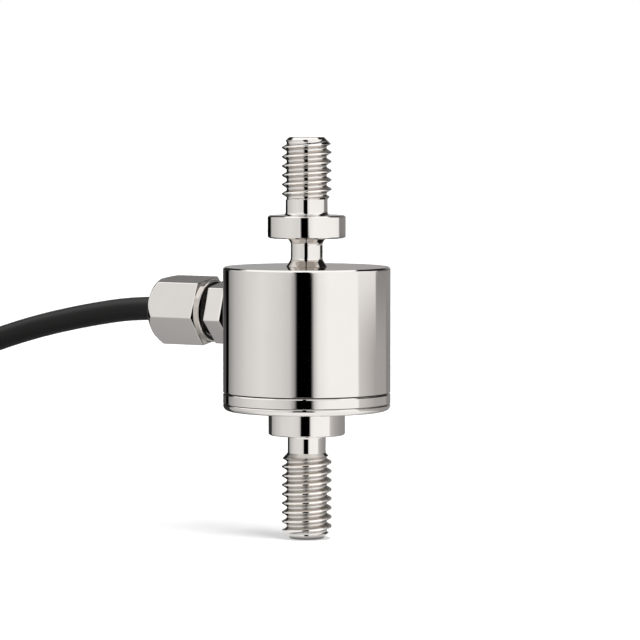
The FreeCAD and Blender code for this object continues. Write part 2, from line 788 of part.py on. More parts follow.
def gland_body():
    """Shank in the wall, round shoulder, small hexagon and the nose that takes the nut."""
    body = new_body("gland_body")
    corner = half(d.gland_hex_flats) * CORNERS_PER_FLATS
    inner = half(UPPER_BORE_DIA) + d.spigot_fit
    sketch = new_sketch(body, "hexagon", "XY_Plane", HEX_L)
    hexagon(sketch, d.gland_hex_flats, d.gland_hex_turn)
    padded(body, "hexagon_pad", sketch, d.gland_hex_length)
    for name, face, inward in (("wall_side", HEX_L, 1), ("nut_side", NOSE_L, -1)):
        cone_end = face + d.gland_hex_chamfer * inward
        grooved(body, f"{name}_chamfer", [
            (half(d.gland_hex_flats), face),
            (corner + d.seam_chamfer, face),
            (corner + d.seam_chamfer, cone_end),
            (corner, cone_end),
        ])
    turned(body, "turning", [
        (0, inner),
        (half(d.shank_dia), inner),
        (half(d.shank_dia), SPOT_FACE_L),
        (half(d.shoulder_dia), SPOT_FACE_L),
        (half(d.shoulder_dia), HEX_L),
        (half(d.nose_dia), HEX_L),
        (half(d.nose_dia), NOSE_END_L),
        (0, NOSE_END_L),
    ])
    bore = new_sketch(body, "bore_circle", "XY_Plane", inner)
    add_circle(bore, (0, 0), half(d.gland_bore_dia))
    pocketed(body, "bore", bore, NOSE_END_L - inner, reverse=True)
    seat = new_sketch(body, "seat_circle", "XY_Plane", SEAT_L)
    add_circle(seat, (0, 0), half(d.grommet_seat_dia))
    pocketed(body, "grommet_seat", seat, d.grommet_seat_depth, reverse=True)
    dressed(body, "Chamfer", "nose_edge", d.collar_chamfer, rims(body, (half(d.nose_dia), NOSE_END_L)))
    on_gland_axis(body)
    return body


def gland_seal_ring():
    """Rubber ring in its seat under the gland's shoulder."""
    body = new_body("gland_seal_ring")
    turned(body, "ring", box_corners(
        half(d.shank_dia),
        half(d.shank_dia) + d.seal_ring_width,
        SPOT_FACE_L - d.seal_ring_width,
        SPOT_FACE_L,
    ))
    dressed(body, "Chamfer", "ring_edges", d.seal_ring_chamfer, rims(
        body,
        (half(d.shank_dia), SPOT_FACE_L - d.seal_ring_width),
        (half(d.shank_dia) + d.seal_ring_width, SPOT_FACE_L - d.seal_ring_width),
        (half(d.shank_dia), SPOT_FACE_L),
        (half(d.shank_dia) + d.seal_ring_width, SPOT_FACE_L),
    ))
    on_gland_axis(body)
    return body


def gland_grommet():
    """Rubber bush round the cable, tapered where the washer presses it."""
    body = new_body("gland_grommet")
    outer = half(d.grommet_dia)
    turned(body, "bush", [
        (half(d.cable_dia), SEAT_L),
        (outer, SEAT_L),
        (outer, GROMMET_END_L - d.grommet_taper),
        (outer - d.grommet_taper / 2, GROMMET_END_L),
        (half(d.cable_dia), GROMMET_END_L),
    ])
    on_gland_axis(body)
    return body


def gland_washer():
    """Steel washer between the grommet and the nut's end wall."""
    body = new_body("gland_washer")
    turned(body, "washer", box_corners(
        half(d.nut_hole_dia), half(d.washer_dia), GROMMET_END_L, WASHER_END_L
    ))
    on_gland_axis(body)
    return body


def gland_nut():
    """Cap nut: round collar, long hexagon with turned chamfers, end wall with the cable hole."""
    body = new_body("gland_nut")
    flat = half(d.nut_hex_flats)
    corner = flat * CORNERS_PER_FLATS
    beyond = corner + d.seam_chamfer
    sketch = new_sketch(body, "hexagon", "XY_Plane", NUT_HEX_L)
    hexagon(sketch, d.nut_hex_flats, d.nut_hex_turn)
    padded(body, "hexagon_pad", sketch, NUT_HEX_END_L - NUT_HEX_L)
    grooved(body, "inner_chamfer", [
        (flat, NUT_HEX_L),
        (beyond, NUT_HEX_L),
        (beyond, NUT_HEX_L + d.nut_inner_chamfer),
        (corner, NUT_HEX_L + d.nut_inner_chamfer),
    ])
    grooved(body, "outer_chamfer", [
        (flat, NUT_HEX_END_L),
        (corner, NUT_HEX_END_L - d.nut_outer_chamfer),
        (beyond, NUT_HEX_END_L - d.nut_outer_chamfer),
        (beyond, NUT_HEX_END_L),
    ])
    turned(body, "collar", [
        (0, NUT_L),
        (flat, NUT_L),
        (flat, NUT_HEX_END_L),
        (half(d.nut_end_dia), NUT_END_L),
        (0, NUT_END_L),
    ])
    thread_radius = half(d.nose_dia) + d.nut_thread_clearance
    thread = new_sketch(body, "thread_circle", "XY_Plane", NUT_L)
    add_circle(thread, (0, 0), thread_radius)
    pocketed(body, "thread_bore", thread, WASHER_END_L - NUT_L, reverse=True)
    hole = new_sketch(body, "cable_hole_circle", "XY_Plane", NUT_L)
    add_circle(hole, (0, 0), half(d.nut_hole_dia))
    pocketed(body, "cable_hole", hole, NUT_END_L - NUT_L, reverse=True)
    dressed(body, "Chamfer", "mouth", d.nut_mouth_chamfer, rims(body, (half(d.nut_hole_dia), NUT_END_L)))
    dressed(body, "Chamfer", "collar_edge", d.seam_chamfer, rims(body, (flat, NUT_L)))
    on_gland_axis(body)
    return body


def made(label, shape):
    """Plain feature for a wire or a tube, whose route is chosen point by point."""
    feature = doc.addObject("Part::Feature", label)
    feature.Label = label
    feature.Shape = shape
    feature.Placement = Placement()
    return feature


def routed(points):
    """Straight runs joined by tangent arcs, each as large as its two runs allow."""
    edges = []
    radii = []
    start = points[0]
    for before, corner, after in zip(points, points[1:], points[2:]):
        inward = (before - corner)
        outward = (after - corner)
        reach = ARC_SHARE * min(inward.Length, outward.Length)
        inward.normalize()
        outward.normalize()
        half_turn = (math.pi - inward.getAngle(outward)) / 2
        radius = reach / math.tan(half_turn)
        arc_start = corner + inward * reach
        arc_end = corner + outward * reach
        towards = (inward + outward).normalize()
        middle = corner + towards * (radius / math.cos(half_turn) - radius)
        edges.append(Part.LineSegment(start, arc_start).toShape())
        edges.append(Part.Arc(arc_start, middle, arc_end).toShape())
        radii.append(radius)
        start = arc_end
    edges.append(Part.LineSegment(start, points[-1]).toShape())
    return Part.Wire(edges), radii


def tube(label, points, diameter):
    """Round tube along a route, with its arcs printed and its volume compared."""
    path, radii = routed(points)
    heading = points[1] - points[0]
    ring = Part.Wire([Part.makeCircle(diameter / 2, points[0], heading)])
    solid = path.makePipeShell([ring], True, True)
    expected = math.pi * diameter ** 2 / 4 * path.Length
    least = min(radii) if radii else 0.0
    print(f"{label}: length {path.Length:.1f}, least radius {least:.1f}, "
          f"volume over section times length {solid.Volume / expected:.4f}")
    return solid


# Route of the free cable after the gland: a droop, then down on to the hank
CABLE_ROUTE = [
    Vector(-28.2, 0.0, GLAND_Z.value),
    Vector(-46.5, 0.0, 22.3),
    Vector(-63.0, 0.0, 16.7),
    Vector(-79.5, -1.0, 12.0),
]
# Route of the cable's last stretch, up out of the hank and along its top
TAIL_ROUTE = [
    Vector(-88.0, -4.4, 12.1),
    Vector(-95.0, -6.6, 15.15),
    Vector(-100.3, -9.2, 15.35),
    Vector(-105.3, -10.1, 15.45),
]
# Routes of the flying leads, from the end sleeve round the far fold on top of the hank
LEAD_ROUTES = {
    "lead_red": [
        Vector(-108.2, -10.1, 15.55), Vector(-110.3, -9.6, 15.15), Vector(-113.3, -6.9, 14.15),
        Vector(-114.9, -2.9, 14.1), Vector(-114.5, 1.3, 14.1), Vector(-112.2, 4.6, 14.1),
    ],
    "lead_black": [
        Vector(-108.2, -10.6, 16.25), Vector(-110.5, -10.2, 15.75), Vector(-113.9, -7.3, 14.25),
        Vector(-115.6, -3.0, 14.1), Vector(-115.2, 1.6, 14.1), Vector(-112.7, 5.2, 14.1),
    ],
    "lead_drain": [
        Vector(-108.2, -10.85, 15.55), Vector(-110.7, -10.5, 15.05), Vector(-114.4, -7.6, 14.05),
        Vector(-116.2, -3.1, 13.95), Vector(-115.8, 1.9, 13.95), Vector(-113.1, 5.8, 13.95),
    ],
    "lead_green": [
        Vector(-108.2, -11.1, 14.85), Vector(-110.8, -10.9, 14.45), Vector(-114.9, -8.1, 14.15),
        Vector(-116.9, -3.2, 14.1), Vector(-116.5, 2.1, 14.1), Vector(-113.6, 6.5, 14.1),
    ],
    "lead_white": [
        Vector(-108.2, -11.6, 15.55), Vector(-111.1, -11.5, 15.05), Vector(-115.4, -8.7, 14.15),
        Vector(-117.7, -3.4, 14.1), Vector(-117.3, 2.4, 14.1), Vector(-114.2, 7.2, 14.1),
    ],
}


def cable():
    """Free stretch, from inside the sleeve, out of the gland and down to the hank."""
    start = Vector(-JACKET_END_L.value, 0, CABLE_ROUTE[0].z)
    return tube("cable", [start] + CABLE_ROUTE, d.cable_dia.value)


def cable_hank():
    """Closed outer shape of the folded cable, waisted where the tie holds it."""
    body = new_body("cable_hank")
    end = HANK_END_RADIUS
    waist = HANK_WAIST_HALF
    reach = half(d.hank_run)
    waist_radius = (reach * reach + waist * waist - end * end) / ((end - waist) * 2)
    away = waist.value + waist_radius.value
    lean = math.atan2(away, reach.value)
    sketch = new_sketch(body, "outline", "XY_Plane")
    near = Vector(HANK_NEAR_X.value, 0, 0)
    far = Vector(HANK_FAR_X.value, 0, 0)
    up = Vector(0, 0, 1)
    waist_x = HANK_WAIST_X.value
    opposite = math.pi - lean
    near_arc = sketch.addGeometry(Part.ArcOfCircle(
        Part.Circle(near, up, end.value), -opposite, opposite))
    rear_waist = sketch.addGeometry(Part.ArcOfCircle(
        Part.Circle(Vector(waist_x, away, 0), up, waist_radius.value), math.pi + lean, -lean))
    far_arc = sketch.addGeometry(Part.ArcOfCircle(
        Part.Circle(far, up, end.value), lean, -lean))
    front_waist = sketch.addGeometry(Part.ArcOfCircle(
        Part.Circle(Vector(waist_x, -away, 0), up, waist_radius.value), lean, opposite))
    sketch.addConstraint(Sketcher.Constraint("Tangent", near_arc, 2, rear_waist, 2))
    sketch.addConstraint(Sketcher.Constraint("Tangent", rear_waist, 1, far_arc, 1))
    sketch.addConstraint(Sketcher.Constraint("Tangent", far_arc, 2, front_waist, 2))
    sketch.addConstraint(Sketcher.Constraint("Tangent", front_waist, 1, near_arc, 1))
    tie_point(sketch, near_arc, 3, (HANK_NEAR_X, 0))
    tie_point(sketch, far_arc, 3, (HANK_FAR_X, 0))
    for arc, radius in (
        (near_arc, end), (far_arc, end), (rear_waist, waist_radius), (front_waist, waist_radius)
    ):
        index = sketch.addConstraint(Sketcher.Constraint("Radius", arc, radius.value))
        sketch.setExpression(f"Constraints[{index}]", radius.text)
    padded(body, "bundle", sketch, HANK_HEIGHT)
    names = []
    for index, edge in enumerate(body.Tip.Shape.Edges, 1):
        heights = {round(vertex.Z, 4) for vertex in edge.Vertexes}
        if len(heights) == 1:
            names.append(f"Edge{index}")
    dressed(body, "Chamfer", "strand_edges", d.hank_edge, names)
    frame = new_sketch(body, "tie_groove_frame", "YZ_Plane", HANK_WAIST_X)
    clear = HANK_END_RADIUS
    add_outline(frame, box_corners(-clear, clear, -clear, HANK_HEIGHT + clear))
    add_outline(frame, tie_section())
    pocketed(body, "tie_groove", frame, d.tie_width + d.tie_side_gap * 2, both_sides=True)
    return body


def tie_section():
    """Section of the bundle where the tie draws it in."""
    side = HANK_WAIST_HALF - d.tie_thick
    return box_corners(-side, side, d.tie_thick, HANK_HEIGHT - d.tie_thick)


def hank_tie():
    """Hook-and-loop strap round the waist, its end lapped over on top."""
    body = new_body("hank_tie")
    sketch = new_sketch(body, "strap_section", "YZ_Plane", HANK_WAIST_X)
    side = HANK_WAIST_HALF
    add_outline(sketch, box_corners(-side, side, 0, HANK_HEIGHT))
    add_outline(sketch, tie_section())
    padded(body, "strap", sketch, d.tie_width, both_sides=True)
    along = Vector(1, 0, 0)
    x = HANK_WAIST_X.value
    corners = [Vector(x, sign * side.value, z) for sign in (-1, 1) for z in (0, HANK_HEIGHT.value)]
    dressed(body, "Fillet", "strap_rounds", d.tie_thick * 2, straight_edges(body, along, corners))
    flap = new_sketch(body, "flap_section", "YZ_Plane", HANK_WAIST_X)
    add_outline(flap, box_corners(
        -d.tie_flap_start,
        d.tie_flap_length - d.tie_flap_start,
        HANK_HEIGHT,
        HANK_HEIGHT + d.tie_thick,
    ))
    padded(body, "flap", flap, d.tie_width, both_sides=True)
    return body


def end_sleeve():
    """Shrunk sleeve over the end of the jacket."""
    heading = (TAIL_ROUTE[-1] - TAIL_ROUTE[-2]).normalize()
    start = TAIL_ROUTE[-1] - heading * d.end_sleeve_overlap.value
    outer = Part.makeCylinder(
        half(d.end_sleeve_dia).value, d.end_sleeve_length.value, start, heading
    )
    jacket = Part.makeCylinder(
        half(d.cable_dia).value, d.end_sleeve_overlap.value, start, heading
    )
    return made("end_sleeve", outer.cut(jacket))


def cores(jacket, board):
    """The cable's four cores and its screen wire, from the jacket's end to the pads."""
    pads = [Vector(x.value, y.value, LEDGE_Z.value) for x, y in pad_centres()]
    spread = d.core_spread.value
    wires = (
        ("core_red", pads[4], Vector(0, -spread, spread)),
        ("core_black", pads[3], Vector(0, -spread, -spread)),
        ("shield_drain", pads[2], Vector(0, 0, 0)),
        ("core_green", pads[1], Vector(0, spread, -spread)),
        ("core_white", pads[0], Vector(0, spread, spread)),
    )
    for label, pad, offset in wires:
        diameter = d.drain_dia.value if label == "shield_drain" else d.core_dia.value
        start = Vector(-JACKET_END_L.value, 0, GLAND_Z.value) + offset
        turn_in = Vector(pad.x, start.y + (pad.y - start.y) * CORE_TURN_SHARE, start.z)
        above = Vector(pad.x + diameter / 4, pad.y, (pad.z + start.z) / 2)
        route = [start - Vector(diameter, 0, 0), turn_in, above, pad]
        made(label, tube(label, route, diameter).cut(jacket.Shape).cut(board.Shape))


def flying_leads(sleeve):
    """Leads from the end sleeve, round the far fold on top of the hank, and their tips."""
    tips = []
    for label, points in LEAD_ROUTES.items():
        diameter = d.drain_dia.value if label == "lead_drain" else d.core_dia.value
        made(label, tube(label, points, diameter).cut(sleeve.Shape))
        heading = (points[-1] - points[-2]).normalize()
        tips.append(Part.makeCylinder(
            half(d.lead_tip_dia).value, d.lead_tip_length.value, points[-1], heading
        ))
    made("lead_tips", Part.makeCompound(tips))


def main():
    azimuths = (45, 135, 225, 315)
    load_stud_housing()
    sensing_disc()
    base_stud()
    hub_screw()
    for index, azimuth in enumerate(azimuths, 1):
        strain_gauge(index, azimuth)
    gauge_leads(azimuths)
    board = terminal_board()
    board_snap_ring()
    trim_resistor(1, 60)
    trim_resistor(2, -60)
    gland_body()
    gland_seal_ring()
    gland_grommet()
    gland_washer()
    gland_nut()
    hank = cable_hank()
    hank_tie()
    jacket = made("cable", cable().cut(hank.Shape))
    cores(jacket, board)
    made("cable_tail", tube("cable_tail", TAIL_ROUTE, d.cable_dia.value).cut(hank.Shape))
    flying_leads(end_sleeve())
    write_parts()


def write_parts():
    """Check every object, then write each sub-part's solid under its label."""
    doc.recompute()
    for item in doc.Objects:
        if "Invalid" in item.State or "Error" in item.State:
            raise ValueError(f"{item.Label} failed: {item.State}")
    os.makedirs(PARTS_FOLDER, exist_ok=True)
    facets = 0
    for item in doc.Objects:
        if item.TypeId not in ("PartDesign::Body", "Part::Feature"):
            continue
        shape = item.Shape
        if shape.isNull() or not shape.isValid() or shape.Volume <= 0:
            raise ValueError(f"{item.Label} has no sound solid")
        shape.exportStep(os.path.join(PARTS_FOLDER, f"{item.Label}.step"))
        count = MeshPart.meshFromShape(
            Shape=shape, LinearDeflection=FACET_DEFLECTION, AngularDeflection=FACET_ANGLE
        ).CountFacets
        facets += count
        box = shape.BoundBox
        print(f"{item.Label:22s} {len(shape.Solids)} solid  {shape.Volume:10.2f} mm3  {count:5d} facets  "
              f"x {box.XMin:8.2f} {box.XMax:8.2f}  y {box.YMin:7.2f} {box.YMax:7.2f}  "
              f"z {box.ZMin:6.2f} {box.ZMax:6.2f}")
    print("facets in all", facets)


main()
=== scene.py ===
"""Looks of a small inline load cell: turned steel body, two studs, gland and tied cable.

Sizes in the classes are millimetres in the frame's own axes: +Z is the load axis and the gland
points along -X. Meshes are made in metres.
"""

from __future__ import annotations

import logging
import math
from collections.abc import Sequence
from dataclasses import dataclass
from enum import Enum
from typing import Any

import bmesh
import bpy
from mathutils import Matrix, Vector

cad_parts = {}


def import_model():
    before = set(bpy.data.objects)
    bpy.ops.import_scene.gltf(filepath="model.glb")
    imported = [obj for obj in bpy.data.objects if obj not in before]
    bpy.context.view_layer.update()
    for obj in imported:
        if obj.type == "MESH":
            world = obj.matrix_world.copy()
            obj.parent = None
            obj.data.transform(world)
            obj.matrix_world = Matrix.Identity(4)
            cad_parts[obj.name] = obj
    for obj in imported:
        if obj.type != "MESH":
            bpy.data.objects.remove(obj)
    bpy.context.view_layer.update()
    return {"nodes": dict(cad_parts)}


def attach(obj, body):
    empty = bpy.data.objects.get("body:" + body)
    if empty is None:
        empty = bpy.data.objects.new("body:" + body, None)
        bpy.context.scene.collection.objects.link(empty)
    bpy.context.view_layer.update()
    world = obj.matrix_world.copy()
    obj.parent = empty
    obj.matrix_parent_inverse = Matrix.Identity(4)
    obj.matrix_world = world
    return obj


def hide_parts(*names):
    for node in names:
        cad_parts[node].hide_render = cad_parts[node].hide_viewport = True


LOG = logging.getLogger("load_cell")
MM = 0.001
FULL_TURN = 2 * math.pi
HEX_STEP = math.pi / 3
# Distance from an arc to the points that keep the straight beside it flat
HOLD = 0.06
# Share of a straight that an arc may take
MOST_OF_ROOM = 0.99
# Turned edges sharper than this many degrees stay sharp
SHARP = 40.0
# Points closer than this many metres are joined, and edges shorter than that are dropped
SAME_PLACE = 2e-7
NO_LENGTH = 1e-8
# Height of the gland's axis
GLAND_HEIGHT = 26.85
BODY_NAME = "root"

Point = tuple[float, float]
Place = tuple[float, float, float]
Colour = tuple[float, float, float]
Rgba = tuple[float, float, float, float]
# Zone of a turned piece: inner and outer radius, then its two ends along the axis, all in mm
Band = tuple[float, float, float, float]


# Shader graphs


class Wire:
    """A value or colour that leaves a node, with maths written as operators."""

    def __init__(self, graph: Graph, socket: bpy.types.NodeSocket) -> None:
        """Keep the graph and the output socket."""
        self.graph = graph
        self.socket = socket

    def __add__(self, other: Any) -> Wire:
        """Sum."""
        return self.graph.maths("ADD", self, other)

    def __sub__(self, other: Any) -> Wire:
        """Difference."""
        return self.graph.maths("SUBTRACT", self, other)

    def __rsub__(self, other: Any) -> Wire:
        """Difference from a number."""
        return self.graph.maths("SUBTRACT", other, self)

    def __mul__(self, other: Any) -> Wire:
        """Product."""
        return self.graph.maths("MULTIPLY", self, other)

    def __truediv__(self, other: Any) -> Wire:
        """Quotient."""
        return self.graph.maths("DIVIDE", self, other)

    def __pow__(self, other: Any) -> Wire:
        """Power."""
        return self.graph.maths("POWER", self, other)

    __radd__ = __add__
    __rmul__ = __mul__


class Graph:
    """A node tree that is built by calls."""

    def __init__(self, tree: bpy.types.NodeTree) -> None:
        """Empty the tree."""
        self.tree = tree
        tree.nodes.clear()

    def node(
        self, kind: str, settings: dict[str, Any] | None = None,
        inputs: dict[Any, Any] | None = None, output: Any = 0,
    ) -> Wire:
        """Add one node.

        Args:
            kind: The node's type.
            settings: Its properties; "stops" are a ramp's pairs of place and colour.
            inputs: Values or wires, by the socket's name or number.
            output: Name or number of the output that is wanted.

        Returns:
            The wire that leaves that output.
        """
        made = self.tree.nodes.new(kind)
        for name, value in (settings or {}).items():
            if name == "stops":
                self._set_stops(made.color_ramp, value)
            else:
                setattr(made, name, value)
        for key, value in (inputs or {}).items():
            if isinstance(value, Wire):
                self.tree.links.new(value.socket, made.inputs[key])
            else:
                made.inputs[key].default_value = value
        return Wire(self, made.outputs[output]) if len(made.outputs) else Wire(self, None)

    @staticmethod
    def _set_stops(ramp: bpy.types.ColorRamp, stops: Sequence[tuple[float, Colour]]) -> None:
        """Put stops on a ramp.

        Args:
            ramp: The ramp of a new node, with two stops.
            stops: Place and colour of each.
        """
        while len(ramp.elements) < len(stops):
            ramp.elements.new(1.0)
        for element, (place, colour) in zip(ramp.elements, stops):
            element.position = place
            element.color = (*colour, 1.0)

    def maths(self, operation: str, *values: Any) -> Wire:
        """Math node."""
        return self.node("ShaderNodeMath", {"operation": operation}, dict(enumerate(values)))

    def ramp(self, factor: Any, stops: Sequence[tuple[float, Colour]]) -> Wire:
        """Colour ramp."""
        return self.node("ShaderNodeValToRGB", {"stops": stops}, {"Fac": factor}, "Color")

    def fade(
        self, value: Any, low: float, high: float, start: float = 0.0, end: float = 1.0
    ) -> Wire:
        """Smooth step of a value from low to high, given as start to end."""
        return self.node(
            "ShaderNodeMapRange", {"interpolation_type": "SMOOTHSTEP"},
            {"Value": value, "From Min": low, "From Max": high, "To Min": start, "To Max": end},
        )

    def mix(self, factor: Any, first: Any, second: Any) -> Wire:
        """Mix of two colours."""
        return self.node(
            "ShaderNodeMix", {"data_type": "RGBA"}, {0: factor, 6: first, 7: second}, 2
        )

    def noise(self, vector: Any, scale: float, detail: float = 3.0, roughness: float = 0.5) -> Wire:
        """Noise between 0 and 1 in three dimensions."""
        return self.node(
            "ShaderNodeTexNoise", {"noise_dimensions": "3D"},
            {"Vector": vector, "Scale": scale, "Detail": detail, "Roughness": roughness},
        )

    def split(self, vector: Wire) -> tuple[Wire, Wire, Wire]:
        """Take a vector apart.

        Args:
            vector: The vector.

        Returns:
            Its three components.
        """
        parts = self.tree.nodes.new("ShaderNodeSeparateXYZ")
        self.tree.links.new(vector.socket, parts.inputs[0])
        return tuple(Wire(self, socket) for socket in parts.outputs)

    def join(self, x: Any, y: Any, z: Any) -> Wire:
        """A vector of three components."""
        return self.node("ShaderNodeCombineXYZ", None, {0: x, 1: y, 2: z})

    def length(self, first: Wire, second: Wire) -> Wire:
        """Distance given by two components."""
        return (first * first + second * second) ** 0.5

    def bump(self, height: Wire, distance: float) -> Wire:
        """Normal that a height gives, its depth in metres."""
        return self.node(
            "ShaderNodeBump", None,
            {"Strength": 1.0, "Distance": distance, "Height": height}, "Normal",
        )

    def emission(self, colour: Any, strength: Any = 1.0) -> Wire:
        """Light given off by a surface."""
        return self.node("ShaderNodeEmission", None, {"Color": colour, "Strength": strength})

    def background(self, colour: Any, strength: float = 1.0) -> Wire:
        """Light from all round."""
        return self.node("ShaderNodeBackground", None, {"Color": colour, "Strength": strength})

    def blend(self, factor: Wire, first: Wire, second: Wire) -> Wire:
        """Mix of two shaders."""
        return self.node("ShaderNodeMixShader", None, {0: factor, 1: first, 2: second})

    def rays(self) -> dict[str, Wire]:
        """Masks of the kinds of ray, by name."""
        path = self.tree.nodes.new("ShaderNodeLightPath")
        return {socket.name: Wire(self, socket) for socket in path.outputs}


def grey(level: float) -> Rgba:
    """A neutral colour for a socket."""
    return (level, level, level, 1.0)


def opaque(colour: Colour) -> Rgba:
    """A colour for a socket."""
    return (*colour, 1.0)


# Finishes


class Axis(Enum):
    """Line that a turned piece was turned about."""

    LOAD = "load"
    GLAND = "gland"


@dataclass(frozen=True)
class Finish:
    """A surface finish: one material with its own node graph."""

    name: str
    colour: Colour
    roughness: float = 0.5
    metallic: float = 0.0
    mottle_scale: float = 900.0
    mottle: float = 0.05

    def material(self) -> bpy.types.Material:
        """Build the material.

        Returns:
            The material, ready to be put on a mesh or curve.
        """
        made = bpy.data.materials.new(self.name)
        made.use_nodes = True
        made.diffuse_color = opaque(self.colour)
        graph = Graph(made.node_tree)
        place = graph.node("ShaderNodeTexCoord", output="Object")
        shader = graph.node("ShaderNodeBsdfPrincipled", None, self.sockets(graph, place), "BSDF")
        graph.node("ShaderNodeOutputMaterial", None, {"Surface": shader})
        return made

    def sockets(self, graph: Graph, place: Wire) -> dict[str, Any]:
        """Values and wires of the shader's sockets.

        Args:
            graph: The material's graph.
            place: Position on the object in metres.

        Returns:
            Socket names with what they get.
        """
        mottle = graph.noise(place, self.mottle_scale, 4.0)
        smooth, dull = self.roughness - self.mottle, self.roughness + self.mottle
        return {
            "Base Color": graph.mix(
                graph.fade(mottle, 0.3, 0.7), opaque(self.shade(0.9)), opaque(self.shade(1.08))
            ),
            "Roughness": graph.fade(mottle, 0.25, 0.75, smooth, dull),
            "Metallic": self.metallic,
        }

    def shade(self, share: float) -> Colour:
        """The colour made darker or lighter by a share."""
        return tuple(min(1.0, channel * share) for channel in self.colour)


@dataclass(frozen=True)
class TurnedMetal(Finish):
    """Bright turned metal: lathe lines round its axis, faint wipe marks, painted shade in grooves
    and on flanks, painted highlights on crests.
    """

    metallic: float = 1.0
    axis: Axis = Axis.LOAD
    gland_height: float = GLAND_HEIGHT
    line_scale: float = 7000.0
    line_depth: float = 0.00000012
    wipe_scale: float = 160.0
    smear: float = 0.02
    painted_groove_shade: float = 0.02
    edge_blur: float = 0.02
    painted_flank_shade: float = 0.67
    painted_crest_highlight: float = 1.25
    root_blur: float = 0.3
    # Where painted shade makes grooves and gaps nearly black, where painted shade makes the metal
    # darker and a painted highlight makes it brighter, and where its mirroring is blurred
    painted_shade_grooves: tuple[Band, ...] = ((8.0, 9.86, 16.1, 17.75),)
    painted_shade_flanks: tuple[Band, ...] = (
        (2.46, 2.82, 0.95, 9.9), (2.46, 2.82, 40.75, 47.0), (1.94, 2.6, 32.56, 33.5),
        (1.94, 2.5, 35.2, 35.97),
    )
    painted_highlight_crests: tuple[Band, ...] = (
        (2.86, 3.2, 0.4, 10.0), (2.86, 3.2, 40.8, 47.4),
    )
    roots: tuple[Band, ...] = ((2.3, 2.48, 0.95, 9.9),)

    def sockets(self, graph: Graph, place: Wire) -> dict[str, Any]:
        """Lathe lines in the bump, slow changes of tone and gloss, painted shade in grooves and on
        flanks, painted highlight on crests.

        Args:
            graph: The material's graph.
            place: Position on the object in metres.

        Returns:
            Socket names with what they get.
        """
        x, y, z = graph.split(place)
        if self.axis is Axis.LOAD:
            radius, along = graph.length(x, y), z
        else:
            radius, along = graph.length(y, z - self.gland_height * MM), x * -1.0
        lines = graph.noise(graph.join(radius, along, x * 0.01), self.line_scale, 2.0, 0.6)
        wipe = graph.noise(place, self.wipe_scale, 5.0, 0.6)
        tone = graph.mix(
            graph.fade(wipe, 0.35, 0.7), opaque(self.shade(0.985)), opaque(self.shade(1.01))
        )
        # Masks: painted shade in grooves and gaps, painted shade on flanks, painted highlight on
        # crests, blurred roots
        painted_groove_mask, painted_flank_mask, painted_crest_mask, blurred = (
            sum(self._inside(graph, radius, along, band) for band in bands)
            for bands in (self.painted_shade_grooves, self.painted_shade_flanks, self.painted_highlight_crests, self.roots)
        )
        # Painted shade: flanks, neck flares and collars darker and browner
        tone = graph.mix(painted_flank_mask, tone, opaque(self.painted_flank_colour()))
        # Painted highlight: thread crests lighter than the steel
        tone = graph.mix(painted_crest_mask, tone, opaque(self.shade(self.painted_crest_highlight)))
        gloss = graph.fade(wipe, 0.3, 0.75, self.roughness, self.roughness + self.smear)
        return {
            "Base Color": graph.mix(painted_groove_mask, tone, opaque(self.shade(self.painted_groove_shade))),
            "Roughness": gloss + blurred * self.root_blur,
            "Metallic": self.metallic,
            "Normal": graph.bump(lines, self.line_depth),
        }

    def painted_flank_colour(self) -> Colour:
        """Painted shade of the flanks: darker and a little browner."""
        red, green, blue = self.shade(self.painted_flank_shade)
        return (red, green * 0.965, blue * 0.93)

    def _inside(self, graph: Graph, radius: Wire, along: Wire, band: Band) -> Wire:
        """Mask of a band.

        Args:
            graph: The material's graph.
            radius: Distance from the axis.
            along: Distance along the axis.
            band: The band in millimetres.

        Returns:
            1 inside the band and 0 outside it.
        """
        inner, outer, low, high = (edge * MM for edge in band)
        soft = self.edge_blur * MM
        within = graph.fade(radius, outer - soft, outer, 1.0, 0.0)
        beyond = graph.fade(radius, inner - soft, inner)
        above = graph.fade(along, low - soft, low)
        below = graph.fade(along, high, high + soft, 1.0, 0.0)
        return within * beyond * above * below


@dataclass(frozen=True)
class Jacket(Finish):
    """Extruded cable jacket: satin, with a very fine pebble and a painted highlight on top."""

    roughness: float = 0.40
    shine: float = 0.18
    # How many times lighter the painted highlight on top is
    painted_top_highlight: float = 4.6
    slow_scale: float = 240.0
    pebble: float = 0.000006
    pebble_scale: float = 5200.0

    def sockets(self, graph: Graph, place: Wire) -> dict[str, Any]:
        """Fine pebble in the bump, and a painted highlight where the surface faces up.

        Args:
            graph: The material's graph.
            place: Position on the object in metres.

        Returns:
            Socket names with what they get.
        """
        fine = graph.noise(place, self.pebble_scale, 3.0, 0.6)
        slow = graph.noise(place, self.slow_scale, 3.0)
        facing = graph.split(graph.node("ShaderNodeNewGeometry", output="Normal"))[2]
        # Painted highlight where the surface faces up, a little patchy
        painted_top_highlight = graph.fade(facing, 0.25, 0.85) * graph.fade(slow, 0.2, 0.8, 0.7, 1.0)
        return {
            "Base Color": graph.mix(painted_top_highlight, opaque(self.colour), opaque(self.shade(self.painted_top_highlight))),
            "Roughness": graph.fade(slow, 0.3, 0.7, self.roughness - 0.04, self.roughness + 0.06),
            "Specular IOR Level": self.shine,
            "Normal": graph.bump(fine, self.pebble),
        }


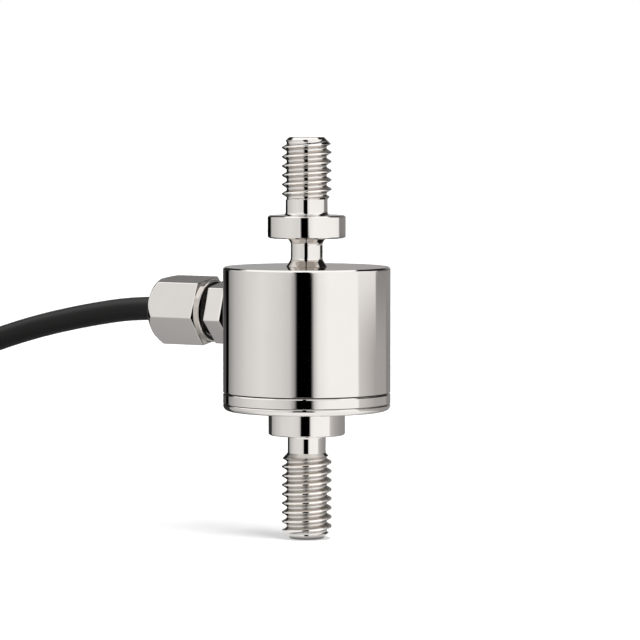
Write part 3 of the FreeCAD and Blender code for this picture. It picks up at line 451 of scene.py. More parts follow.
@dataclass(frozen=True)
class Weave(Finish):
    """Woven hook-and-loop tape, its threads crossing at right angles."""

    roughness: float = 0.9
    pitch: float = 0.00045
    depth: float = 0.00006
    fuzz_scale: float = 6000.0

    def sockets(self, graph: Graph, place: Wire) -> dict[str, Any]:
        """Warp and weft in the bump and colour.

        Args:
            graph: The material's graph.
            place: Position on the object in metres.

        Returns:
            Socket names with what they get.
        """
        x, y, z = graph.split(place)
        turn = FULL_TURN / self.pitch
        warp, weft = graph.maths("SINE", x * turn), graph.maths("SINE", (y + z) * turn)
        crossing = warp * weft * 0.5 + 0.5
        fuzz = graph.noise(place, self.fuzz_scale, 4.0, 0.7)
        height = crossing * 0.6 + fuzz * 0.4
        return {
            "Base Color": graph.mix(height, opaque(self.shade(0.5)), opaque(self.shade(1.6))),
            "Roughness": self.roughness,
            "Sheen Weight": 0.3,
            "Normal": graph.bump(height, self.depth),
        }


@dataclass(frozen=True)
class Foil(Finish):
    """Amber gauge film over etched metal lines."""

    roughness: float = 0.35
    line_pitch: float = 0.00036
    metal: Colour = (0.70, 0.66, 0.58)

    def sockets(self, graph: Graph, place: Wire) -> dict[str, Any]:
        """Stripes of foil in the film.

        Args:
            graph: The material's graph.
            place: Position on the object in metres.

        Returns:
            Socket names with what they get.
        """
        x, y, _ = graph.split(place)
        stripes = graph.maths("SINE", (x + y) * (FULL_TURN / self.line_pitch))
        foil = graph.fade(stripes, 0.1, 0.4)
        return {
            "Base Color": graph.mix(foil, opaque(self.colour), opaque(self.metal)),
            "Roughness": self.roughness,
            "Metallic": foil * 0.8,
        }


@dataclass(frozen=True)
class Board(Finish):
    """Lacquered glass-fibre board with a faint weave under the lacquer."""

    roughness: float = 0.3
    weave_scale: float = 2200.0
    tin: Colour = (0.75, 0.74, 0.70)
    # Heights between which the board turns into its pads
    pad_from: float = 0.02367
    pad_full: float = 0.02369

    def sockets(self, graph: Graph, place: Wire) -> dict[str, Any]:
        """Weave in the colour, tin on the raised pads.

        Args:
            graph: The material's graph.
            place: Position on the object in metres.

        Returns:
            Socket names with what they get.
        """
        _, _, z = graph.split(place)
        pad = graph.fade(z, self.pad_from, self.pad_full)
        checks = graph.node(
            "ShaderNodeTexChecker", None,
            {"Vector": place, "Color1": opaque(self.shade(0.85)),
             "Color2": opaque(self.shade(1.15)), "Scale": self.weave_scale}, "Color",
        )
        return {
            "Base Color": graph.mix(pad, checks, opaque(self.tin)),
            "Roughness": self.roughness,
            "Metallic": pad,
        }


class Finishes:
    """All finishes of the cell, built once."""

    def __init__(self) -> None:
        """Make every material."""
        steel = (0.80, 0.775, 0.75)
        nickel = (0.79, 0.765, 0.735)
        self.steel = TurnedMetal("polished_steel", steel, 0.03).material()
        self.nickel = TurnedMetal(
            "nickel_plate", nickel, 0.07, axis=Axis.GLAND, smear=0.04,
            # Painted shade in the gap behind the cap nut and at the seat, and on the nut's round
            # collar
            painted_shade_grooves=((1.6, 3.6, 12.27, 13.9), (1.6, 4.2, 9.3, 10.0)),
            painted_shade_flanks=((3.7, 3.84, 13.17, 13.8),), painted_flank_shade=0.74, painted_highlight_crests=(),
        ).material()
        self.plain = TurnedMetal("plain_steel", (0.6, 0.6, 0.6), 0.3).material()
        self.tinned = TurnedMetal("tinned_wire", (0.70, 0.69, 0.66), 0.25).material()
        self.jacket = Jacket("cable_jacket", (0.0055, 0.0056, 0.0054)).material()
        self.shrink = Jacket("shrink_sleeve", (0.014, 0.014, 0.014), 0.5).material()
        self.rubber = Jacket("seal_rubber", (0.022, 0.022, 0.022), 0.65, pebble=0.00001).material()
        self.strap = Weave("tie_strap", (0.02, 0.02, 0.021)).material()
        self.foil = Foil("gauge_foil", (0.72, 0.48, 0.16)).material()
        self.board = Board("glass_board", (0.05, 0.24, 0.12)).material()
        self.chip = Finish("resistor", (0.05, 0.05, 0.06), 0.3).material()
        self.insulation = {
            "red": Finish("insulation_red", (0.55, 0.02, 0.015), 0.35).material(),
            "black": Finish("insulation_black", (0.015, 0.015, 0.015), 0.35).material(),
            "green": Finish("insulation_green", (0.015, 0.26, 0.06), 0.35).material(),
            "white": Finish("insulation_white", (0.78, 0.78, 0.76), 0.35).material(),
        }


# Mesh making


@dataclass(frozen=True)
class Corner:
    """Corner of a turned outline: radius, height along the axis, and its rounding."""

    radius: float
    height: float
    rounding: float = 0.0
    steps: int = 4


def rounded_outline(corners: Sequence[Corner], closed: bool) -> list[Point]:
    """Replace the corners of an outline by arcs.

    Args:
        corners: Corners in order.
        closed: Whether the last corner joins the first.

    Returns:
        Points of radius and height.
    """
    count = len(corners)
    points: list[Point] = []
    wanted = [_reach(corners, index) for index in range(count)]
    for index, corner in enumerate(corners):
        here = Vector((corner.radius, corner.height))
        at_end = not closed and index in (0, count - 1)
        if corner.rounding <= 0 or at_end:
            points.append((here.x, here.y))
            continue
        back, ahead = _sides(corners, index)
        half_angle = back.angle(ahead) / 2
        room_back = back.length - wanted[(index - 1) % count]
        room_ahead = ahead.length - wanted[(index + 1) % count]
        reach = min(wanted[index], min(room_back, room_ahead) * MOST_OF_ROOM)
        radius = reach * math.tan(half_angle)
        middle = (back.normalized() + ahead.normalized()).normalized()
        centre = here + middle * (radius / math.sin(half_angle))
        start = here + back.normalized() * reach - centre
        end = here + ahead.normalized() * reach - centre
        first = math.atan2(start.y, start.x)
        sweep = (math.atan2(end.y, end.x) - first + math.pi) % FULL_TURN - math.pi
        if room_back > reach + HOLD * 3:
            points.append(tuple(here + back.normalized() * (reach + HOLD)))
        for step in range(corner.steps + 1):
            angle = first + sweep * step / corner.steps
            across, up = radius * math.cos(angle), radius * math.sin(angle)
            points.append((centre.x + across, centre.y + up))
        if room_ahead > reach + HOLD * 3:
            points.append(tuple(here + ahead.normalized() * (reach + HOLD)))
    return points


def _sides(corners: Sequence[Corner], index: int) -> tuple[Vector, Vector]:
    """Vectors from a corner to its neighbours.

    Args:
        corners: Corners in order.
        index: Number of the corner.

    Returns:
        The way back and the way ahead.
    """
    before, here, after = (
        Vector((corner.radius, corner.height))
        for corner in (corners[index - 1], corners[index], corners[(index + 1) % len(corners)])
    )
    return before - here, after - here


def _reach(corners: Sequence[Corner], index: int) -> float:
    """Distance from a corner to where its arc starts.

    Args:
        corners: Corners in order.
        index: Number of the corner.

    Returns:
        The distance, 0 for a sharp corner.
    """
    if corners[index].rounding <= 0:
        return 0.0
    back, ahead = _sides(corners, index)
    return corners[index].rounding / math.tan(back.angle(ahead) / 2)


def ring_faces(rings: int, sides: int, closed: bool = False) -> list[list[int]]:
    """Quads between rings of points that follow each other.

    Args:
        rings: Number of rings.
        sides: Points in each ring.
        closed: Whether the last ring joins the first.

    Returns:
        Corner numbers of each face.
    """
    faces = []
    for ring in range(rings if closed else rings - 1):
        here, there = ring * sides, (ring + 1) % rings * sides
        for step in range(sides):
            after = (step + 1) % sides
            faces.append([here + step, here + after, there + after, there + step])
    return faces


def mesh_object(
    name: str, points: Sequence[Sequence[float]], faces: Sequence[Sequence[int]],
    material: bpy.types.Material, sharp_degrees: float = SHARP,
) -> bpy.types.Object:
    """Make a smooth-shaded object from points in millimetres.

    Args:
        name: The piece's name.
        points: Points in the row frame, in millimetres.
        faces: Corner numbers of each face.
        material: The finish.
        sharp_degrees: Edges that turn by more stay sharp.

    Returns:
        The object, already in the scene.
    """
    mesh = bpy.data.meshes.new(name)
    mesh.from_pydata([(p[0] * MM, p[1] * MM, p[2] * MM) for p in points], [], faces)
    mesh.validate()
    mesh.polygons.foreach_set("use_smooth", [True] * len(mesh.polygons))
    mesh.set_sharp_from_angle(angle=math.radians(sharp_degrees))
    mesh.materials.append(material)
    made = bpy.data.objects.new(name, mesh)
    bpy.context.scene.collection.objects.link(made)
    return made


def weigh_normals(piece: bpy.types.Object, sharp_degrees: float = 38.0) -> None:
    """Give each corner the mean normal of the faces round it, weighed by area.

    Args:
        piece: A mesh object.
        sharp_degrees: Faces that turn by more don't count for each other.
    """
    mesh = piece.data
    least = math.cos(math.radians(sharp_degrees))
    around: list[list[tuple[Vector, Vector]]] = [[] for _ in mesh.vertices]
    for face in mesh.polygons:
        normal = face.normal.copy()
        pair = (normal, normal * face.area)
        for vertex in face.vertices:
            around[vertex].append(pair)
    normals = []
    for face in mesh.polygons:
        own = face.normal.copy()
        for vertex in face.vertices:
            total = Vector()
            for normal, weighed in around[vertex]:
                if own.dot(normal) > least:
                    total += weighed
            normals.append(total.normalized())
    mesh.normals_split_custom_set(normals)


def cut(piece: bpy.types.Object, cutter: bpy.types.Object) -> None:
    """Take one solid out of another and drop the cutter.

    Args:
        piece: The object that stays.
        cutter: The object taken out of it.
    """
    step = piece.modifiers.new("cut", "BOOLEAN")
    step.operation = "DIFFERENCE"
    step.solver = "EXACT"
    step.object = cutter
    dressed = piece.evaluated_get(bpy.context.evaluated_depsgraph_get())
    result = bpy.data.meshes.new_from_object(dressed)
    piece.modifiers.clear()
    piece.data = result
    result.set_sharp_from_angle(angle=math.radians(SHARP))
    bpy.data.objects.remove(cutter)


@dataclass(frozen=True)
class Thread:
    """Right-handed 60 degree thread between two heights, with its point and its run-out."""

    start: float
    end: float
    pitch: float
    phase: float
    tip: float
    point: tuple[Point, ...]
    relief: float
    relief_radius: float
    crest_radius: float = 2.975
    root_radius: float = 2.39
    crest_blend: float = 0.1
    crest_half: float = 0.0686
    root_blend: float = 0.16
    run_out: float = 0.9

    # Places of the rows in one pitch, closer together at the crest and the root
    ROWS = (0.0, 0.035, 0.066, 0.078, 0.09, 0.12, 0.16, 0.21, 0.27, 0.32, 0.36, 0.4, 0.45)

    def profile(self, share: float) -> float:
        """Radius of the bare thread.

        Args:
            share: Place in the pitch, 0 at a crest.

        Returns:
            The radius in millimetres.
        """
        off_crest = abs(share - round(share)) * self.pitch
        flank = self.crest_radius + math.sqrt(3) * (self.crest_half - off_crest)
        lower = max(self.crest_blend - abs(self.crest_radius - flank), 0.0)
        radius = min(self.crest_radius, flank) - lower * lower / (4 * self.crest_blend)
        upper = max(self.root_blend - abs(self.root_radius - radius), 0.0)
        return max(self.root_radius, radius) + upper * upper / (4 * self.root_blend)

    def radius(self, height: float, turn: float) -> float:
        """Least of the thread's, the point's and the run-out's radius.

        Args:
            height: Along the axis.
            turn: Angle round the axis, in radians.

        Returns:
            The radius in millimetres.
        """
        bare = self.profile((height - self.phase) / self.pitch - turn / FULL_TURN)
        run_out = self.relief_radius + abs(height - self.relief) * self.run_out
        return min(bare, self._point_radius(abs(height - self.tip)), run_out)

    def _point_radius(self, away: float) -> float:
        """Radius of the turned point.

        Args:
            away: Distance from the end face.

        Returns:
            The radius in millimetres.
        """
        (near, small), *rest = self.point
        for far, large in rest:
            if away <= far:
                return small + (large - small) * max(away - near, 0.0) / (far - near)
            near, small = far, large
        return small + (away - near)

    def rows(self) -> list[float]:
        """Heights where the rows of the spiral grid start.

        Returns:
            Heights in pitches, from below to above.
        """
        first = math.floor((self.start - self.phase) / self.pitch) - 1
        last = math.ceil((self.end - self.phase) / self.pitch) + 1
        half = list(self.ROWS)
        places = half + [1.0 - place for place in reversed(half[1:])]
        places.insert(len(half), 0.5)
        return [turn + place for turn in range(first, last) for place in places]

    def per_pitch(self) -> int:
        """Number of rows in one pitch."""
        return 2 * len(self.ROWS)


@dataclass
class Lathe:
    """Turned piece made as a grid: outline points by columns round the axis."""

    name: str
    axis: Axis = Axis.LOAD
    gland_height: float = GLAND_HEIGHT
    columns: int = 192

    def place(self, radius: float, height: float, turn: float) -> Place:
        """Place of a point of the turned piece.

        Args:
            radius: Distance from the axis.
            height: Distance along the axis.
            turn: Angle round the axis, in radians.

        Returns:
            The place in millimetres.
        """
        if self.axis is Axis.LOAD:
            return (radius * math.cos(turn), radius * math.sin(turn), height)
        return (-height, -radius * math.sin(turn), self.gland_height + radius * math.cos(turn))

    def build(
        self, outline: Sequence[Point], closed: bool, material: bpy.types.Material,
        thread: Thread | None = None,
    ) -> bpy.types.Object:
        """Sweep an outline round the axis.

        Args:
            outline: Points of radius and height, the material on their left.
            closed: Whether the last point joins the first.
            material: The finish.
            thread: Thread between two outline points at its start and end, if there is one.

        Returns:
            The piece.
        """
        points: list[Place] = []
        rings: list[list[int]] = []
        threaded = 0
        for radius, height in outline:
            if radius <= 0:
                rings.append([len(points)] * self.columns)
                points.append(self.place(0.0, height, 0.0))
                continue
            at_thread = bool(thread) and height in (thread.start, thread.end)
            if at_thread and height == thread.start:
                threaded = len(rings)
            ring = []
            for column in range(self.columns):
                turn = FULL_TURN * column / self.columns
                reach = thread.radius(height, turn) if at_thread else radius
                ring.append(len(points))
                points.append(self.place(reach, height, turn))
            rings.append(ring)
        faces = []
        last = len(rings) if closed else len(rings) - 1
        for row in range(last):
            if thread and row == threaded:
                continue
            lower, upper = rings[row], rings[(row + 1) % len(rings)]
            for column in range(self.columns):
                after = (column + 1) % self.columns
                face = [lower[column], lower[after], upper[after], upper[column]]
                corners = list(dict.fromkeys(face))
                if len(corners) > 2:
                    faces.append(corners)
        if thread:
            self._add_thread(thread, points, faces)
        made = mesh_object(self.name, points, faces, material)
        weld(made)
        return made

    def _add_thread(
        self, thread: Thread, points: list[Place], faces: list[list[int]]
    ) -> None:
        """Add the thread as a spiral grid, whose rows run along its crest and root.

        Args:
            thread: The thread.
            points: Points so far, which grow.
            faces: Faces so far, which grow.
        """
        rows, step = thread.rows(), thread.per_pitch()
        first = len(points)
        for column in range(self.columns):
            turn = FULL_TURN * column / self.columns
            for row in rows:
                height = thread.phase + thread.pitch * (row + turn / FULL_TURN)
                height = min(max(height, thread.start), thread.end)
                points.append(self.place(thread.radius(height, turn), height, turn))
        count = len(rows)
        for column in range(self.columns):
            shift = step if column == self.columns - 1 else 0
            after = (column + 1) % self.columns
            for row in range(count - 1):
                following = min(row + shift, count - 1), min(row + shift + 1, count - 1)
                faces.append([
                    first + column * count + row, first + after * count + following[0],
                    first + after * count + following[1], first + column * count + row + 1,
                ])


def weld(piece: bpy.types.Object) -> None:
    """Join points that fall together, drop faces without area and turn all faces outwards.

    Args:
        piece: A mesh object.
    """
    shape = bmesh.new()
    shape.from_mesh(piece.data)
    bmesh.ops.remove_doubles(shape, verts=shape.verts, dist=SAME_PLACE)
    bmesh.ops.dissolve_degenerate(shape, edges=shape.edges, dist=NO_LENGTH)
    bmesh.ops.recalc_face_normals(shape, faces=shape.faces)
    shape.to_mesh(piece.data)
    shape.free()
    piece.data.set_sharp_from_angle(angle=math.radians(SHARP))


# Turned steel pieces


@dataclass
class TurnedBody:
    """Upper housing, gauged disc and base, each turned about the load axis."""

    body_radius: float = 10.0
    plate_height: float = 15.4
    lower_seam: float = 16.24
    upper_seam: float = 17.55
    top: float = 32.55
    neck_radius: float = 1.9
    upper_collar: float = 35.98
    upper_relief: float = 38.68
    upper_thread: float = 40.6
    stud_top: float = 48.0
    lower_relief: float = 10.3
    lower_collar: float = 12.45
    thread_pitch: float = 1.097
    upper_phase: float = 0.021
    lower_phase: float = 0.297
    upper_collar_radius: float = 4.65
    lower_collar_radius: float = 4.575
    upper_relief_radius: float = 2.5
    lower_relief_radius: float = 2.29
    # Turned points, as distance from the end face and radius
    upper_point: tuple[Point, ...] = ((0.03, 2.13), (0.9, 3.0))
    lower_point: tuple[Point, ...] = ((0.08, 2.03), (0.45, 2.36), (1.0, 2.96))
    rim_chamfer: float = 0.21
    plate_rounding: float = 0.66
    # How far the neck flares out and how far along it, at its foot and at its head
    foot_flare: Point = (0.56, 0.85)
    head_flare: Point = (0.4, 0.62)
    groove_depth: float = 0.3
    groove_half: float = 0.07
    lip: float = 0.09

    # Hollow of the housing, with the post that holds the hub
    bore_radius: float = 8.5
    ledge_radius: float = 7.8
    ledge: float = 23.65
    roof: float = 31.75
    post_radius: float = 2.5
    post_foot: float = 22.15
    # Web and hub of the disc, and the hub's hole for the screw and its head
    wall_radius: float = 8.48
    web_top: float = 21.15
    web_foot: float = 20.15
    hub_radius: float = 3.25
    hub_foot: float = 19.35
    web_rounding: float = 0.35
    hole_radius: float = 1.35
    head_radius: float = 2.4
    head_seat: float = 20.95
    # Boss of the base inside the disc
    boss_radius: float = 7.75
    boss_top: float = 18.15
    # Hole and flat seat for the gland, as distances from the load axis
    gland_hole_radius: float = 2.32
    gland_hole_start: float = 4.0
    gland_seat_radius: float = 3.1
    gland_seat: float = 9.54
    gland_seat_end: float = 10.36

    def housing(self, material: bpy.types.Material) -> bpy.types.Object:
        """Sleeve, roof, neck, collar and threaded stud in one piece.

        Args:
            material: The finish.

        Returns:
            The piece.
        """
        thread = Thread(
            self.upper_thread, self.stud_top - 0.03, self.thread_pitch, self.upper_phase,
            tip=self.stud_top, point=self.upper_point, relief=self.upper_thread,
            relief_radius=self.upper_relief_radius,
        )
        foot = self.upper_seam + self.groove_half
        deep = self.body_radius - self.groove_depth
        neck, collar, relief = self.neck_radius, self.upper_collar_radius, self.upper_relief_radius
        outside = rounded_outline([
            Corner(self.bore_radius, self.upper_seam),
            Corner(deep, self.upper_seam),
            Corner(deep, foot),
            Corner(self.body_radius, foot, 0.03, 3),
            Corner(self.body_radius, self.top - self.rim_chamfer, 0.1, 5),
            Corner(self.body_radius - self.rim_chamfer, self.top, 0.1, 5),
            Corner(neck + self.foot_flare[0], self.top, 0.06, 4),
            Corner(neck, self.top + self.foot_flare[1], 0.9, 10),
            Corner(neck, self.upper_collar - self.head_flare[1], 0.8, 10),
            Corner(neck + self.head_flare[0], self.upper_collar, 0.06, 4),
            Corner(collar - 0.2, self.upper_collar, 0.05, 3),
            Corner(collar, self.upper_collar + 0.15, 0.05, 3),
            Corner(collar, self.upper_relief - 0.15, 0.05, 3),
            Corner(collar - 0.2, self.upper_relief, 0.05, 3),
            Corner(relief, self.upper_relief, 0.45, 9),
            Corner(relief, self.upper_thread - 0.03),
        ], False)
        stud = [
            (relief, thread.start), (relief, thread.end), (2.06, self.stud_top),
            (0.0, self.stud_top),
        ]
        inside = [
            (0.0, self.post_foot), (self.post_radius, self.post_foot),
            (self.post_radius, self.roof), (self.ledge_radius, self.roof),
            (self.ledge_radius, self.ledge), (self.bore_radius, self.ledge),
        ]
        made = Lathe("housing").build(outside + stud + inside, True, material, thread)
        self._cut_seat(made, material)
        weigh_normals(made)
        return made

    def disc(self, material: bpy.types.Material) -> bpy.types.Object:
        """Rim between the seams, with the wall, web and hub inside.

        Args:
            material: The finish.

        Returns:
            The piece.
        """
        head = self.upper_seam - self.groove_half
        foot = self.lower_seam + self.groove_half * 0.5
        deep = self.body_radius - self.groove_depth
        outline = rounded_outline([
            Corner(self.ledge_radius, self.lower_seam), Corner(deep, self.lower_seam),
            Corner(deep, foot),
            Corner(self.body_radius, foot, 0.03, 3),
            Corner(self.body_radius, head - self.lip * 1.6, 0.03, 3),
            Corner(self.body_radius - self.lip * 1.2, head, 0.03, 3),
            Corner(deep, head), Corner(deep, self.upper_seam),
            Corner(self.wall_radius, self.upper_seam), Corner(self.wall_radius, self.web_top),
            Corner(self.hub_radius, self.web_top, self.web_rounding),
            Corner(self.hub_radius, self.post_foot), Corner(self.hole_radius, self.post_foot),
            Corner(self.hole_radius, self.head_seat), Corner(self.head_radius, self.head_seat),
            Corner(self.head_radius, self.hub_foot), Corner(self.hub_radius, self.hub_foot),
            Corner(self.hub_radius, self.web_foot, self.web_rounding),
            Corner(self.ledge_radius, self.web_foot, self.web_rounding),
        ], True)
        made = Lathe("disc").build(outline, True, material)
        weigh_normals(made)
        return made

    def base(self, material: bpy.types.Material) -> bpy.types.Object:
        """Base plate, collar, relief and threaded stud in one piece.

        Args:
            material: The finish.

        Returns:
            The piece.
        """
        thread = Thread(
            0.08, self.lower_relief, self.thread_pitch, self.lower_phase,
            tip=0.0, point=self.lower_point, relief=self.lower_relief,
            relief_radius=self.lower_relief_radius, crest_blend=0.02, crest_half=0.086,
        )
        collar = self.lower_collar_radius
        head = self.lower_seam - self.groove_half * 0.5
        deep = self.body_radius - self.groove_depth
        above = rounded_outline([
            Corner(2.275, self.lower_relief + 0.02),
            Corner(2.275, self.lower_collar, 0.45, 9),
            Corner(collar - 0.175, self.lower_collar, 0.06, 3),
            Corner(collar, self.lower_collar + 0.14, 0.06, 3),
            Corner(collar, self.plate_height, 0.08, 4),
            Corner(self.body_radius, self.plate_height, self.plate_rounding, 12),
            Corner(self.body_radius, head - self.lip * 1.2, 0.03, 3),
            Corner(self.body_radius - self.lip * 0.9, head, 0.03, 3),
            Corner(deep, head), Corner(deep, self.lower_seam),
            Corner(self.boss_radius, self.lower_seam),
            Corner(self.boss_radius, self.boss_top, 0.2), Corner(0.0, self.boss_top),
        ], False)
        stud = [(0.0, 0.0), (1.84, 0.0), (1.97, 0.035), (2.3, thread.start), (2.3, thread.end)]
        made = Lathe("base").build(stud + above, False, material, thread)
        weigh_normals(made)
        return made

    def _cut_seat(self, housing: bpy.types.Object, material: bpy.types.Material) -> None:
        """Cut the flat seat and the hole that take the gland.

        Args:
            housing: The turned housing.
            material: The finish.
        """
        hole, seat = self.gland_hole_radius, self.gland_seat_radius
        cutter = Lathe("seat_cutter", Axis.GLAND, columns=96).build([
            (0.0, self.gland_hole_start), (hole, self.gland_hole_start), (hole, self.gland_seat),
            (seat, self.gland_seat), (seat, self.gland_seat_end), (0.0, self.gland_seat_end),
        ], False, material)
        cut(housing, cutter)


# Cable gland


@dataclass
class HexTurning:
    """Hexagonal turned piece: flat where it was faced off, coned where it was chamfered."""

    name: str
    flats: float
    corner_turn: float
    corner_rounding: float = 0.2
    edge: float = 0.08
    gland_height: float = GLAND_HEIGHT
    sharp: float = 50.0

    def turns(self) -> list[float]:
        """Angles of the columns, closer together at the corners.

        Returns:
            Angles in radians, from one corner all the way round.
        """
        near = [0.0, 0.5, 1.0, 1.5, 2.0, 2.6, 4.0]
        side = near + [6.5 + 2.35 * step for step in range(10)] + [30.0]
        sector = [-angle for angle in reversed(side[1:-1])] + side
        return [math.radians(60 * index + angle) for index in range(6) for angle in sector]

    def radius(self, turn: float) -> float:
        """Radius of the hexagon with its rounded corners.

        Args:
            turn: Angle from a corner, in radians.

        Returns:
            The radius in millimetres.
        """
        apothem = self.flats / 2
        off = abs((turn + HEX_STEP / 2) % HEX_STEP - HEX_STEP / 2)
        rounding = self.corner_rounding
        centre = (apothem - rounding) / math.cos(math.pi / 6)
        tangent = math.atan2(rounding * 0.5, centre + rounding * math.cos(math.pi / 6))
        if off >= tangent:
            return apothem / math.cos(math.pi / 6 - off)
        return centre * math.cos(off) + math.sqrt(rounding ** 2 - (centre * math.sin(off)) ** 2)

    def _faced(self, reach: float, along: float, way: float) -> list[Point]:
        """Points over an edge between a faced-off end and the hexagon.

        Args:
            reach: The hexagon's radius there.
            along: Place of the end.
            way: 1 for the inner end, -1 for the outer one.

        Returns:
            Points of radius and place, from the inner end outwards.
        """
        edge = self.edge
        made = [
            (reach - edge, along), (reach - edge * 0.3, along + way * edge * 0.3),
            (reach, along + way * edge), (reach, along + way * edge * 3),
        ]
        return made if way > 0 else made[::-1]

    def _coned(self, reach: float, along: float, depth: float) -> list[Point]:
        """Points over the edge between the hexagon and its outer cone.

        Args:
            reach: The hexagon's radius there.
            along: Place where the cone ends.
            depth: Length of the cone at the corners.

        Returns:
            Points of radius and place, from the hexagon outwards.
        """
        apothem, full = self.flats / 2, self.radius(0.0)
        edge_at = along - depth * (reach - apothem) / (full - apothem)
        slope = (full - apothem) / depth
        step = min(self.edge, (along - edge_at) * 0.8)
        return [
            (reach, edge_at - self.edge * 3), (reach, edge_at - self.edge),
            (reach - slope * step * 0.3, edge_at + step * 0.1),
            (reach - slope * step, edge_at + step),
        ]

    def build(
        self, before: Sequence[Point], inner: float, outer: float, cone: float,
        after: Sequence[Point], material: bpy.types.Material,
    ) -> bpy.types.Object:
        """Make the piece.

        Args:
            before: Round outline points up to the hexagon's inner end.
            inner: Distance of the faced-off inner end from the load axis.
            outer: Distance of the outer end.
            cone: Length of the outer chamfer, 0 where the end is faced off too.
            after: Round outline points after the outer end.
            material: The finish.

        Returns:
            The piece.
        """
        points: list[Place] = []
        turns = self.turns()
        for turn in turns:
            reach = self.radius(turn)
            end = self._coned(reach, outer, cone) if cone else self._faced(reach, outer, -1)
            profile = [
                *before, *self._faced(reach, inner, 1), (reach, (inner + outer) / 2), *end, *after
            ]
            angle = turn + math.radians(self.corner_turn)
            points += [
                (-along, -radius * math.sin(angle), self.gland_height + radius * math.cos(angle))
                for radius, along in profile
            ]
        faces = ring_faces(len(turns), len(profile), True)
        made = mesh_object(self.name, points, faces, material, self.sharp)
        weld(made)
        weigh_normals(made)
        return made


@dataclass
class Gland:
    """Cable gland: body with the small hexagon, and the long cap nut."""

    hex_start: float = 10.0
    hex_end: float = 12.3
    nose_end: float = 17.5
    nut_start: float = 13.1
    nut_hex_start: float = 13.82
    nut_hex_end: float = 20.43
    nut_end: float = 20.68
    body_flats: float = 7.0
    nut_flats: float = 7.7
    # How far the hexagons are turned from having a corner on top, in degrees
    body_turn: float = 43.0
    nut_turn: float = 38.6
    nut_cone: float = 0.78
    bore: float = 1.55
    shank: float = 2.3
    shank_start: float = 7.9
    shoulder: float = 2.95
    shoulder_start: float = 9.55
    face: float = 3.3
    grommet_seat: float = 14.9
    nut_bore: float = 2.94
    nut_bore_end: float = 18.6
    collar: float = 3.78
    mouth: float = 1.5
    # Fine thread of the nose, as ridges
    ridges: int = 42
    ridge_step: float = 0.11
    ridge_height: float = 0.13
    crest: float = 2.86

    def body(self, material: bpy.types.Material) -> bpy.types.Object:
        """Shank, shoulder, small hexagon and threaded nose.

        Args:
            material: The finish.

        Returns:
            The piece.
        """
        before = rounded_outline([
            Corner(self.bore, self.shank_start), Corner(self.shank, self.shank_start),
            Corner(self.shank, self.shoulder_start), Corner(self.shoulder, self.shoulder_start),
            Corner(self.shoulder, self.hex_start - 0.02, 0.05), Corner(self.face, self.hex_start),
        ], False)
        start = self.hex_end + 0.06
        nose = [
            (self.crest - self.ridge_height * (step % 2), start + self.ridge_step * step)
            for step in range(self.ridges)
        ]
        after = [
            (self.face, self.hex_end), *nose, (2.7, self.nose_end), (self.shank, self.nose_end),
            (self.shank, self.grommet_seat), (self.bore, self.grommet_seat),
        ]
        return HexTurning("gland_hexagon", self.body_flats, self.body_turn).build(
            before, self.hex_start, self.hex_end, 0.0, after, material
        )

    def nut(self, material: bpy.types.Material) -> bpy.types.Object:
        """Cap nut with its round collar, turned chamfer and the cable's mouth.

        Args:
            material: The finish.

        Returns:
            The piece.
        """
        before = rounded_outline([
            Corner(self.nut_bore, self.nut_bore_end), Corner(self.nut_bore, self.nut_start + 0.3),
            Corner(3.2, self.nut_start, 0.04), Corner(self.collar, self.nut_start, 0.12, 6),
            Corner(self.collar, self.nut_hex_start - 0.01),
        ], False)
        after = rounded_outline([
            Corner(3.84, self.nut_hex_end), Corner(3.55, self.nut_end, 0.06),
            Corner(1.72, self.nut_end, 0.04), Corner(self.mouth, self.nut_end - 0.22),
            Corner(self.mouth, self.nut_bore_end),
        ], False)
        return HexTurning("gland_cap_nut", self.nut_flats, self.nut_turn).build(
            before, self.nut_hex_start, self.nut_hex_end, self.nut_cone, after, material
        )


# Cable, hank and leads


